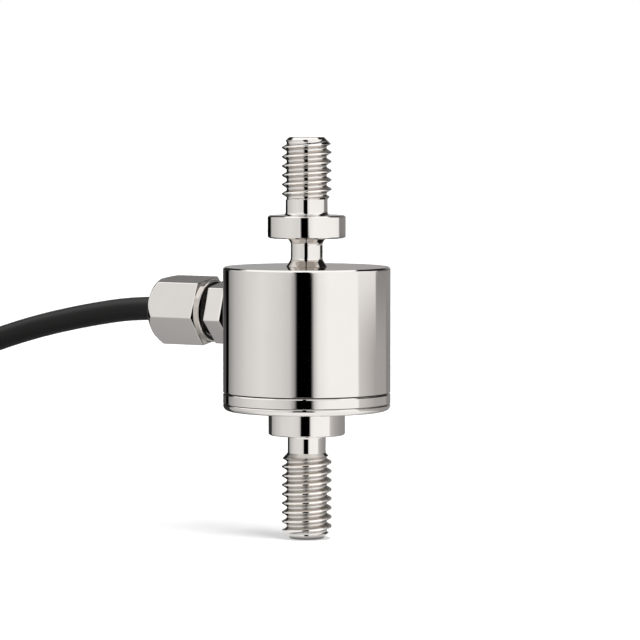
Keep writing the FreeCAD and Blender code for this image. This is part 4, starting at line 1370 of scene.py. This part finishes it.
@dataclass
class Hank:
    """The cable's own line: free stretch, nine flat loops in a waisted hank, and the tail."""

    diameter: float = 2.75
    near: float = -61.6
    far: float = -106.6
    fold_radius: float = 8.1
    waist_half: float = 1.375
    layers: int = 5
    end_steps: int = 10
    side_steps: int = 6
    squeeze: float = 0.08
    squeeze_reach: float = 7.0

    # Listed points: the stretch that the photograph shows, then down between the near loops
    FREE = (
        (-7.2, 0.0, 26.85), (-15.5, 0.0, 26.87), (-24.5, 0.0, 26.95), (-32.5, 0.0, 25.71),
        (-40.5, 0.0, 23.98), (-48.5, 0.0, 21.54), (-57.0, -0.05, 18.5), (-66.0, -0.2, 15.45),
        (-74.0, -0.5, 13.45), (-79.6, -1.0, 12.6),
    )
    TAIL = ((-88.0, -4.5, 12.7), (-94.6, -6.4, 14.8), (-100.3, -9.1, 15.35), (-105.3, -10.1, 15.45))

    def points(self) -> list[Place]:
        """Lay the cable.

        Returns:
            All its control points, in millimetres.
        """
        made = list(self.FREE)
        for layer in range(self.layers - 1, -1, -1):
            made += self._loop(0, layer, layer, int(layer == 0), max(layer - 1, 0))
        for layer in range(1, self.layers):
            made += self._loop(1, layer - 1, layer, 1, layer)
        made += self.TAIL
        return [self._drawn_in(point) for point in made]

    def _loop(
        self, column: int, start: int, layer: int, next_column: int, next_layer: int
    ) -> list[Place]:
        """One loop of the hank, from the waist round the far end and the near end to the waist.

        Args:
            column: Column where it starts, 0 inside and 1 outside.
            start: Layer where it starts.
            layer: Layer at the far end.
            next_column: Column after the far end.
            next_layer: Layer after the rear side.

        Returns:
            Its control points.
        """
        turn = self._end_angle()
        outwards = self.diameter * (next_column - column)
        return [
            *self._side(column, -1, (0.5, 1.0), (start, layer)),
            *self._arc((self.far, 0.0), self._radii(column)[0], (180 + turn, 180 - turn),
                       self.end_steps, (layer, layer), outwards),
            *self._side(next_column, 1, (1.0, 0.0), (layer, next_layer), 0.5),
            *self._arc((self.near, 0.0), self._radii(next_column)[0], (turn, -turn),
                       self.end_steps, (next_layer, next_layer)),
            *self._side(next_column, -1, (0.0, 0.5), (next_layer, next_layer)),
        ]

    def _drawn_in(self, point: Place) -> Place:
        """Move a point of the waist towards the middle of the bundle, as the tie does.

        Args:
            point: A control point.

        Returns:
            The point, moved if it is near the waist.
        """
        x, y, z = point
        off = abs(x - self.waist_x) / self.squeeze_reach
        if off >= 1:
            return point
        share = self.squeeze * (1 - off * off)
        middle = self.diameter * self.layers / 2
        return (x, y * (1 - share), z + (middle - z) * share)

    @property
    def waist_x(self) -> float:
        """Place of the waist."""
        return (self.near + self.far) / 2

    def _arc(
        self, centre: Point, radius: float, sweep: Point, steps: int, levels: Point,
        widen: float = 0.0, settled: float = 1.0,
    ) -> list[Place]:
        """Control points that give a round arc.

        Args:
            centre: Its centre in plan.
            radius: Its radius.
            sweep: Angles where it starts and ends, in degrees.
            steps: Number of points.
            levels: Layer at the start and at the end.
            widen: How much the radius grows on the way.
            settled: Share of the way after which layer and radius no longer change.

        Returns:
            The points, set out a little so that the curve itself has the radius.
        """
        start, end = sweep
        out = 1 / (0.75 + 0.25 * math.cos(math.radians((end - start) / steps)))
        made = []
        for index in range(steps):
            share = (index + 0.5) / steps
            angle = math.radians(start + (end - start) * share)
            way = min(1.0, share / settled)
            eased = way * way * (3 - 2 * way)
            reach = (radius + widen * eased) * out
            layer = levels[0] + (levels[1] - levels[0]) * eased
            made.append((
                centre[0] + reach * math.cos(angle), centre[1] + reach * math.sin(angle),
                self.diameter * (layer + 0.5),
            ))
        return made

    def _end_angle(self) -> float:
        """Angle from the hank's line to where an end loop meets the waist's arc."""
        return math.degrees(math.atan2(self._away(), (self.far - self.near) / 2))

    def _away(self) -> float:
        """Distance of the waist arcs' centres from the hank's line.

        Returns:
            The distance in millimetres.
        """
        reach = (self.near - self.far) / 2
        gap = self.fold_radius - self.waist_half
        arc = (reach ** 2 + self.waist_half ** 2 - self.fold_radius ** 2) / (2 * gap)
        return self.waist_half + arc

    def _radii(self, column: int) -> Point:
        """End radius and waist arc radius of a column."""
        out = self.diameter * column
        return (self.fold_radius + out, self._away() - self.waist_half - out)

    def _side(
        self, column: int, sign: int, shares: Point, levels: Point, settled: float = 1.0
    ) -> list[Place]:
        """Control points along one side.

        Args:
            column: 0 inside and 1 outside.
            sign: -1 for the front, 1 for the rear.
            shares: Start and end, as shares of the way from the near end to the far end.
            levels: Layer at the start and at the end.
            settled: Share of the way after which the layer no longer changes.

        Returns:
            The points.
        """
        spread = self._end_angle() - 90
        start, end = (sign * (spread * (1 - 2 * share) - 90) for share in shares)
        steps = max(2, round(self.side_steps * abs(shares[1] - shares[0])))
        centre = (self.waist_x, sign * self._away())
        return self._arc(
            centre, self._radii(column)[1], (start, end), steps, levels, settled=settled
        )


def spline_object(
    name: str, points: Sequence[Sequence[float]], diameter: float, material: bpy.types.Material,
    resolution: int = 6, sides: int = 3,
) -> bpy.types.Object:
    """Round cord along one open NURBS spline.

    Args:
        name: The piece's name.
        points: Control points in millimetres.
        diameter: In millimetres.
        material: The finish.
        resolution: Steps between two control points.
        sides: Bevel resolution; the section has four sides and twice this many more.

    Returns:
        The curve object.
    """
    data = bpy.data.curves.new(name, "CURVE")
    data.dimensions = "3D"
    data.resolution_u = resolution
    data.bevel_depth = diameter / 2 * MM
    data.bevel_resolution = sides
    data.use_fill_caps = True
    spline = data.splines.new("NURBS")
    spline.points.add(len(points) - 1)
    for point, place in zip(spline.points, points):
        point.co = (place[0] * MM, place[1] * MM, place[2] * MM, 1.0)
    spline.order_u = 3
    spline.use_endpoint_u = True
    spline.use_smooth = True
    data.materials.append(material)
    made = bpy.data.objects.new(name, data)
    bpy.context.scene.collection.objects.link(made)
    return made


@dataclass
class Cabling:
    """The signal cable with its hank, tie, end sleeve and flying leads."""

    hank: Hank
    lead_diameter: float = 0.7
    drain_diameter: float = 0.4
    cable_length: float = 1500.0
    # The cable is drawn a little thicker than it is, to cover as many pixels as in the photograph
    drawn_over: float = 0.12
    tip_end: float = 2.85
    tip_overlap: float = 0.4
    sleeve_overlap: float = 2.5
    sleeve_sides: int = 40
    # Radius and place along the sleeve, from its open end
    SLEEVE = (
        (1.38, 0.0), (1.52, 0.05), (1.63, 0.3), (1.64, 2.2), (1.6, 2.8), (1.5, 3.4),
        (1.42, 4.2), (1.38, 5.3), (1.3, 5.85), (1.05, 6.0), (0.0, 5.95),
    )
    strap_thick: float = 0.48
    strap_half: float = 2.2
    strap_bevel: Point = (0.12, 0.06)
    strap_side: float = 5.48
    strap_top: float = 13.73
    strap_radius: float = 1.1

    LEADS = {
        "red": ((-108.2, -10.1, 15.55), (-110.3, -9.6, 15.15), (-113.3, -6.9, 14.15),
                (-114.9, -2.9, 14.1), (-114.5, 1.3, 14.1), (-112.2, 4.6, 14.1)),
        "black": ((-108.2, -10.6, 16.25), (-110.5, -10.2, 15.75), (-113.9, -7.3, 14.25),
                  (-115.6, -3.0, 14.1), (-115.2, 1.6, 14.1), (-112.7, 5.2, 14.1)),
        "drain": ((-108.2, -10.85, 15.55), (-110.7, -10.5, 15.05), (-114.4, -7.6, 14.05),
                  (-116.2, -3.1, 13.95), (-115.8, 1.9, 13.95), (-113.1, 5.8, 13.95)),
        "green": ((-108.2, -11.1, 14.85), (-110.8, -10.9, 14.45), (-114.9, -8.1, 14.15),
                  (-116.9, -3.2, 14.1), (-116.5, 2.1, 14.1), (-113.6, 6.5, 14.1)),
        "white": ((-108.2, -11.6, 15.55), (-111.1, -11.5, 15.05), (-115.4, -8.7, 14.15),
                  (-117.7, -3.4, 14.1), (-117.3, 2.4, 14.1), (-114.2, 7.2, 14.1)),
    }

    def cable(self, material: bpy.types.Material) -> bpy.types.Object:
        """The whole jacketed cable as one curve."""
        drawn = self.hank.diameter + self.drawn_over
        return spline_object("signal_cable", self.hank.points(), drawn, material, 5, 9)

    def leads(self, finishes: Finishes) -> dict[str, bpy.types.Object]:
        """The five flying leads.

        Args:
            finishes: All finishes.

        Returns:
            The leads by colour.
        """
        made = {}
        for colour, points in self.LEADS.items():
            bare = colour == "drain"
            made[colour] = spline_object(
                f"flying_lead_{colour}", points,
                self.drain_diameter if bare else self.lead_diameter,
                finishes.tinned if bare else finishes.insulation[colour], 8, 2,
            )
        return made

    def tips(self, material: bpy.types.Material) -> list[bpy.types.Object]:
        """Tinned strands at the leads' ends.

        Args:
            material: The finish.

        Returns:
            The five strands.
        """
        made = []
        for colour, points in self.LEADS.items():
            end, before = Vector(points[-1]), Vector(points[-2])
            way = (end - before).normalized()
            line = [end + way * along for along in (-self.tip_overlap, 1.5, self.tip_end)]
            made.append(spline_object(
                f"lead_tip_{colour}", line, self.drain_diameter, material, 4, 2
            ))
        return made

    def sleeve(self, material: bpy.types.Material) -> bpy.types.Object:
        """Shrunk sleeve, drawn in at both ends.

        Args:
            material: The finish.

        Returns:
            The piece.
        """
        end, before = Vector(self.hank.TAIL[-1]), Vector(self.hank.TAIL[-2])
        way = (end - before).normalized()
        start = end - way * self.sleeve_overlap
        side = way.orthogonal().normalized()
        up = way.cross(side)
        points = []
        for radius, along in self.SLEEVE:
            for step in range(self.sleeve_sides):
                turn = FULL_TURN * step / self.sleeve_sides
                outward = side * math.cos(turn) + up * math.sin(turn)
                points.append(start + way * along + outward * radius)
        faces = ring_faces(len(self.SLEEVE), self.sleeve_sides)
        return mesh_object("jacket_end_sleeve", points, faces, material, 60.0)

    def tie(self, material: bpy.types.Material) -> bpy.types.Object:
        """Hook-and-loop strap: one turn round the waist, its end lapped on top.

        Args:
            material: The finish.

        Returns:
            The piece.
        """
        line = self._strap_line(self.strap_side, self.strap_top, self.strap_radius)
        half, thick = self.strap_half, self.strap_thick
        wide, rise = self.strap_bevel
        section = [
            (-half, 0.0), (-half + wide, rise), (half - wide, rise), (half, 0.0),
            (half, -thick + 0.08), (half - wide, -thick), (-half + wide, -thick),
            (-half, -thick + 0.08),
        ]
        points = []
        for index, (y, z) in enumerate(line):
            back, ahead = line[max(index - 1, 0)], line[min(index + 1, len(line) - 1)]
            way = Vector((ahead[0] - back[0], ahead[1] - back[1])).normalized()
            points += [
                (self.hank.waist_x + across, y - way.y * (off - rise), z + way.x * (off - rise))
                for across, off in section
            ]
        count = len(section)
        faces = ring_faces(len(line), count)
        faces.append(list(range(count)))
        faces.append([(len(line) - 1) * count + step for step in reversed(range(count))])
        return mesh_object("hank_strap", points, faces, material, 50.0)

    def _strap_line(self, side: float, top: float, radius: float) -> list[Point]:
        """Outer line of the strap in its section plane, from under the lap to the lap's end.

        Args:
            side: Half the strap's width over the bundle.
            top: Height of its top.
            radius: Radius of its corners.

        Returns:
            Points of Y and Z.
        """
        line = [(y, top) for y in (-2.8, -1.0, 1.0, 3.0)]
        for y, z, start in (
            (side - radius, top - radius, 90.0), (side - radius, radius + 0.02, 0.0),
            (-side + radius, radius + 0.02, -90.0), (-side + radius, top - radius, -180.0),
        ):
            for step in range(7):
                angle = math.radians(start - 15.0 * step)
                line.append((y + radius * math.cos(angle), z + radius * math.sin(angle)))
        lap = ((-3.6, 0.0), (-3.0, 0.12), (-2.3, 0.42), (-1.2, 0.5), (1.0, 0.5), (3.95, 0.5))
        return line + [(y, top + lift) for y, lift in lap]


# Studio


@dataclass
class Studio:
    """White sweep, soft surround and camera of the photograph."""

    camera_turn: float = 32.5
    camera_distance: float = 466.0
    camera_height: float = 54.5
    focal_pixels: float = 3911.0
    picture_pixels: float = 640.0
    sensor: float = 36.0
    pitch_degrees: float = 3.478
    yaw_pixels: float = 13.3
    # Sun: strength, width, turn to the right of the camera and height, the last three in degrees
    sun: float = 5.1
    sun_width: float = 44.0
    sun_turn: float = 42.0
    sun_lift: float = 45.0
    even_light: float = 0.72
    paper: float = 0.45
    glow: float = 0.4
    floor_half: float = 3000.0
    floor_cells: int = 12
    # Panels to the right of this bearing are a little warmer where they aren't fully bright
    warm_from: float = 72.0
    warmth: float = 0.03

    # Light round the object as its metal sees it: degrees to the right of the camera, and level;
    # BODY and BODY_TOP share FRONT
    LOW = (
        (-180.0, 0.04), (-131.0, 0.04), (-127.0, 0.45), (-106.0, 0.65), (-80.0, 0.82),
        (-45.0, 0.88), (-26.0, 0.83), (-20.0, 0.66), (-17.0, 0.0), (8.0, 0.0), (12.0, 0.98),
        (22.0, 1.1), (70.0, 1.13), (75.0, 0.66), (91.0, 0.48), (120.0, 0.36), (180.0, 0.26),
    )
    FRONT = (
        (-144.0, 0.0), (-135.2, 0.0), (-133.0, 0.30), (-115.0, 0.57), (-90.0, 0.79),
        (-64.0, 0.90), (-36.0, 0.80), (-23.0, 0.70), (-16.0, 0.35), (-13.5, 0.0), (6.3, 0.0),
        (10.3, 0.68), (16.0, 0.98), (30.0, 1.12), (73.0, 1.12),
    )
    BODY = (
        (-180.0, 0.30), (-160.0, 0.08), (-148.0, 0.10), *FRONT, (76.0, 0.73), (108.0, 0.46),
        (138.0, 0.42), (141.0, 0.28), (180.0, 0.28),
    )
    BODY_TOP = (
        (-180.0, 0.30), (-160.0, 0.08), *FRONT, (75.0, 0.97), (108.0, 0.93), (110.0, 0.32),
        (180.0, 0.30),
    )
    NECK = (
        (-180.0, 0.05), (-131.0, 0.05), (-124.0, 0.56), (-94.0, 0.71), (-58.0, 0.87),
        (-27.0, 0.80), (-19.0, 0.95), (-15.0, 0.0), (5.0, 0.0), (11.0, 1.1), (90.0, 1.08),
        (112.0, 1.02), (115.0, 0.04), (180.0, 0.03),
    )
    FAR = (
        (-180.0, 0.0), (-135.0, 0.0), (-128.0, 0.58), (-104.0, 0.72), (-79.0, 0.83),
        (-50.0, 0.90), (-26.0, 0.83), (-20.0, 0.88), (-16.0, 0.0), (3.0, 0.0), (7.0, 0.98),
        (22.0, 1.12), (90.0, 1.10), (109.0, 1.02), (113.0, 0.28), (180.0, 0.30),
    )
    STEEP = (
        (-180.0, 0.60), (-150.0, 0.35), (-125.0, 0.32), (-109.0, 0.47), (-95.0, 0.60),
        (-70.0, 0.95), (0.0, 1.05), (80.0, 1.05), (120.0, 0.50), (150.0, 0.35), (180.0, 0.60),
    )
    HORIZON = (
        (-180.0, 0.38), (-172.0, 0.36), (-166.0, 0.03), (-135.0, 0.0), (-128.0, 0.55),
        (-104.0, 0.72), (-79.0, 0.83), (-50.0, 0.90), (-26.0, 0.83), (-20.0, 0.80), (-15.5, 0.0),
        (4.0, 0.0), (8.0, 0.95), (22.0, 1.12), (90.0, 1.10), (106.0, 0.90), (112.0, 0.25),
        (140.0, 0.10), (165.0, 0.30), (180.0, 0.38),
    )
    SKY = (
        (-180.0, 0.23), (-172.0, 0.20), (-162.0, 0.02), (-140.0, 0.02), (-133.0, 0.80),
        (-108.0, 0.85), (-72.0, 0.88), (-58.0, 1.15), (-20.0, 1.20), (-15.0, 0.0), (4.0, 0.0),
        (8.0, 1.2), (96.0, 1.20), (102.0, 0.02), (152.0, 0.02), (160.0, 0.20), (180.0, 0.23),
    )
    # Outline of the cone that gives the shadow, as radius and height
    FLAG = ((0.0, 0.1), (2.95, 0.1), (4.4, 8.2), (0.0, 8.2))
    # Panels that take over further out on the floor: start and end of the change in metres
    RINGS = ((0.18, 0.2, BODY), (0.3, 0.66, BODY_TOP), (0.69, 0.72, NECK), (0.88, 0.91, FAR))

    def camera(self) -> bpy.types.Object:
        """Camera at the photograph's viewing angle.

        Returns:
            The scene's camera.
        """
        data = bpy.data.cameras.new("camera")
        data.sensor_width = self.sensor
        data.lens = self.focal_pixels / self.picture_pixels * self.sensor
        data.clip_start, data.clip_end = 0.01, 20.0
        made = bpy.data.objects.new("camera", data)
        bpy.context.scene.collection.objects.link(made)
        turn = math.radians(self.camera_turn)
        reach = self.camera_distance * MM
        made.location = (reach * math.sin(turn), -reach * math.cos(turn), self.camera_height * MM)
        yaw = math.atan(self.yaw_pixels / self.focal_pixels)
        pitch = math.radians(self.pitch_degrees)
        made.rotation_euler = (math.pi / 2 - pitch, 0.0, turn - yaw)
        bpy.context.scene.camera = made
        return made

    def turned(self, graph: Graph, direction: Wire) -> tuple[Wire, Wire]:
        """Turn a direction about the load axis.

        Args:
            graph: The world's or the floor's graph.
            direction: Direction or place in the row frame.

        Returns:
            Its parts that point towards the camera and to the camera's right.
        """
        x, y, _ = graph.split(direction)
        turn = math.radians(self.camera_turn)
        sine, cosine = math.sin(turn), math.cos(turn)
        return x * sine - y * cosine, x * cosine + y * sine

    def bearing(self, graph: Graph, direction: Wire) -> Wire:
        """Turn of a direction to the right of the camera's.

        Args:
            graph: The world's or the floor's graph.
            direction: Direction or place in the row frame.

        Returns:
            0 to 1 for -180 to 180 degrees.
        """
        ahead, right = self.turned(graph, direction)
        return graph.maths("ARCTAN2", right, ahead) / FULL_TURN + 0.5

    def panels(self, graph: Graph, bearing: Wire, table: Sequence[Point]) -> Wire:
        """Light panels round the object.

        Args:
            graph: The world's or the floor's graph.
            bearing: Turn to the right of the camera's, 0 to 1.
            table: Pairs of degrees and level.

        Returns:
            The light's colour.
        """
        stops = []
        for place, level in table:
            warm = self.warmth if place > self.warm_from and level < 0.95 else 0.0
            stops.append((
                (place + 180) / 360, (level, level * (0.995 - warm), level * (0.985 - warm * 1.3))
            ))
        return graph.ramp(bearing, stops)

    def world(self) -> None:
        """White for the camera, soft panels for the metal, even light for the rest."""
        world = bpy.data.worlds.new("studio")
        bpy.context.scene.world = world
        world.use_nodes = True
        graph = Graph(world.node_tree)
        direction = graph.node("ShaderNodeTexCoord", output="Generated")
        z = graph.split(direction)[2]
        bearing = self.bearing(graph, direction)
        level = graph.mix(
            graph.fade(z, 0.20, 0.27), self.panels(graph, bearing, self.HORIZON),
            self.panels(graph, bearing, self.SKY),
        )
        level = self._overhead(graph, *self.turned(graph, direction), z, level)
        rays = graph.rays()
        even = graph.background(grey(1.0), self.even_light)
        lit = graph.blend(rays["Is Glossy Ray"], even, graph.background(level))
        shown = graph.blend(rays["Is Camera Ray"], lit, graph.background(grey(1.0)))
        graph.node("ShaderNodeOutputWorld", None, {"Surface": shown})

    @staticmethod
    def _overhead(graph: Graph, ahead: Wire, right: Wire, z: Wire, level: Wire) -> Wire:
        """What the metal sees above the panels.

        Args:
            graph: The world's graph.
            ahead: Part of the direction that points towards the camera.
            right: Part that points to the camera's right.
            z: Part that points up.
            level: Light of the panels.

        Returns:
            Light of the panels and of what is above them.
        """
        aside = graph.maths("ABSOLUTE", right)
        # Grey patch behind the object, with a dark strip down its middle
        behind = graph.mix(graph.fade(aside, 0.02, 0.05), grey(0.04), grey(0.30))
        patch = graph.fade(z, 0.55, 0.65) * graph.fade(aside, 0.3, 0.36, 1.0, 0.0)
        patch = patch * graph.fade(ahead, -0.3, -0.2, 1.0, 0.0)
        level = graph.mix(patch, level, behind)
        # Bright ceiling, dimmer on the camera's side
        ceiling = graph.fade(z - right * 0.2, 0.68, 0.72)
        ceiling = ceiling * graph.fade(z + ahead * 2.0 + aside * 0.75, 0.05, 0.15)
        above = graph.mix(graph.fade(ahead, 0.12, 0.2), grey(1.25), grey(0.85))
        level = graph.mix(ceiling, level, above)
        # Black slot in the ceiling, over the camera
        off_slot = graph.maths("ABSOLUTE", right + ahead * 0.1)
        slot = graph.fade((1.0 - z) * 0.45 + 0.01 - off_slot, 0.0, 0.02)
        slot = slot * graph.fade(ahead, 0.12, 0.2) * graph.fade(z, 0.5, 0.55)
        return graph.mix(slot, level, grey(0.0))

    def floor(self) -> bpy.types.Object:
        """Pale sweep that keeps the object's shadow.

        Returns:
            The floor.
        """
        half, count = self.floor_half, self.floor_cells
        marks = [-half + 2 * half * step / count for step in range(count + 1)]
        points = [(x, y, 0.0) for y in marks for x in marks]
        starts = [row * (count + 1) + column for row in range(count) for column in range(count)]
        faces = [[start, start + 1, start + count + 2, start + count + 1] for start in starts]
        made = mesh_object("floor", points, faces, self._floor_material())
        return made

    def _floor_material(self) -> bpy.types.Material:
        """White paper: lit and shadowed for the camera, banded where metal reflects it.

        Returns:
            The material.
        """
        made = bpy.data.materials.new("white_sweep")
        made.use_nodes = True
        graph = Graph(made.node_tree)
        place = graph.node("ShaderNodeTexCoord", output="Object")
        x, y, _ = graph.split(place)
        away = graph.length(x, y)
        bearing = self.bearing(graph, place)
        level = self.panels(graph, bearing, self.LOW)
        for start, end, table in self.RINGS:
            panels = self.panels(graph, bearing, table)
            level = graph.mix(graph.fade(away, start, end), level, panels)
        rise = graph.split(graph.node("ShaderNodeNewGeometry", output="Incoming"))[2]
        steep = self.panels(graph, bearing, self.STEEP)
        level = graph.mix(graph.fade(rise, 0.42, 0.52), level, steep)
        # Painted shade in what the metal mirrors: dimmer close to the foot, and dark right under it
        level = graph.mix(graph.fade(away, 0.004, 0.007), grey(0.78), level)
        level = graph.mix(graph.fade(away, 0.0021, 0.0025), grey(0.2), level)
        rays = graph.rays()
        paper = graph.node("ShaderNodeBsdfDiffuse", None, {"Color": grey(self.paper)})
        glow = graph.emission(grey(1.0), self.glow * rays["Is Camera Ray"])
        lit = graph.node("ShaderNodeAddShader", None, {0: paper, 1: glow})
        shown = graph.blend(rays["Is Glossy Ray"], lit, graph.emission(level))
        graph.node("ShaderNodeOutputMaterial", None, {"Surface": shown})
        return made

    def flag(self) -> None:
        """Cone round the lower stud, seen by the sun alone, that gives the short soft shadow."""
        made = Lathe("shadow_flag", columns=48).build(self.FLAG, False, self._floor_material())
        made.visible_camera = made.visible_glossy = made.visible_diffuse = False

    def lamps(self) -> None:
        """One broad sun, to the right of the camera and above it."""
        data = bpy.data.lights.new("key_lamp", "SUN")
        data.energy = self.sun
        data.angle = math.radians(self.sun_width)
        made = bpy.data.objects.new("key_lamp", data)
        bpy.context.scene.collection.objects.link(made)
        turn, lift = math.radians(self.camera_turn + self.sun_turn), math.radians(self.sun_lift)
        towards = Vector((
            math.sin(turn) * math.cos(lift), -math.cos(turn) * math.cos(lift), math.sin(lift)
        ))
        made.location = towards * 0.6
        made.rotation_euler = towards.to_track_quat("Z", "Y").to_euler()
        made.visible_glossy = False


# Building


def ride(piece: bpy.types.Object, slot: str, *nodes: str) -> bpy.types.Object:
    """Fix a piece to the cell.

    Args:
        piece: The piece.
        slot: Its material slot; not used.
        nodes: The solids it stands for.

    Returns:
        The same piece.
    """
    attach(piece, BODY_NAME)
    if nodes:
        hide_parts(*nodes)
    LOG.info("%s stands for %s", piece.name, ", ".join(nodes) or "no solid")
    return piece


def build_cabling(cabling: Cabling, finishes: Finishes) -> None:
    """Args:
        cabling: The cable's sizes.
        finishes: All finishes.
    """
    cable = ride(
        cabling.cable(finishes.jacket), "cable_jacket", "cable", "cable_hank", "cable_tail"
    )
    tie = ride(cabling.tie(finishes.strap), "tie_strap", "hank_tie")
    sleeve = ride(cabling.sleeve(finishes.shrink), "shrink_sleeve", "end_sleeve")
    going = [tie, sleeve]
    for colour, lead in cabling.leads(finishes).items():
        slot = "tinned_copper" if colour == "drain" else f"insulation_{colour}"
        going.append(ride(lead, slot, f"lead_{colour}"))
    for tip in cabling.tips(finishes.tinned):
        going.append(ride(tip, "tinned_copper", "lead_tips"))
    for piece in (cable, *going):
        piece.visible_glossy = False
        piece.visible_shadow = False


def build_metal(finishes: Finishes) -> None:
    """Make the turned body and the gland.

    Args:
        finishes: All finishes.
    """
    body = TurnedBody()
    turned = [
        ride(body.housing(finishes.steel), "polished_steel", "load_stud_housing"),
        ride(body.disc(finishes.steel), "polished_steel", "sensing_disc"),
        ride(body.base(finishes.steel), "polished_steel", "base_stud"),
    ]
    gland = Gland()
    fitting = [
        ride(gland.body(finishes.nickel), "nickel_plate", "gland_body"),
        ride(gland.nut(finishes.nickel), "nickel_plate", "gland_nut"),
    ]
    for piece in fitting:
        piece.visible_glossy = False
    for piece in turned + fitting:
        piece.visible_shadow = False


def dress_nodes(nodes: dict[str, bpy.types.Object], finishes: Finishes) -> None:
    """Put the right finish on every solid that is carried over.

    Args:
        nodes: The frame's solids by name.
        finishes: All finishes.
    """
    by_start = {
        "hub_screw": finishes.plain, "gland_washer": finishes.plain,
        "board_snap_ring": finishes.plain, "strain_gauge": finishes.foil,
        "terminal_board": finishes.board, "trim_resistor": finishes.chip,
        "gauge_leads": finishes.tinned, "shield_drain": finishes.tinned,
        "gland_grommet": finishes.rubber, "gland_seal_ring": finishes.rubber,
        **{f"core_{colour}": made for colour, made in finishes.insulation.items()},
    }
    for name, node in nodes.items():
        if node.hide_render:
            continue
        for start, finish in by_start.items():
            if name.startswith(start):
                node.data.materials.clear()
                node.data.materials.append(finish)
                node.visible_glossy = False
                LOG.info("%s keeps its solid, finish %s", name, finish.name)


def main() -> None:
    """Load the frame, build every piece and the studio."""
    logging.basicConfig(level=logging.INFO, format="%(message)s")
    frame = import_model()
    studio = Studio()
    studio.camera()
    finishes = Finishes()
    build_cabling(Cabling(Hank()), finishes)
    build_metal(finishes)
    dress_nodes(frame["nodes"], finishes)
    studio.world()
    studio.floor()
    studio.flag()
    studio.lamps()
    bpy.context.scene.view_settings.view_transform = "Standard"


if __name__ == "__main__":
    main()
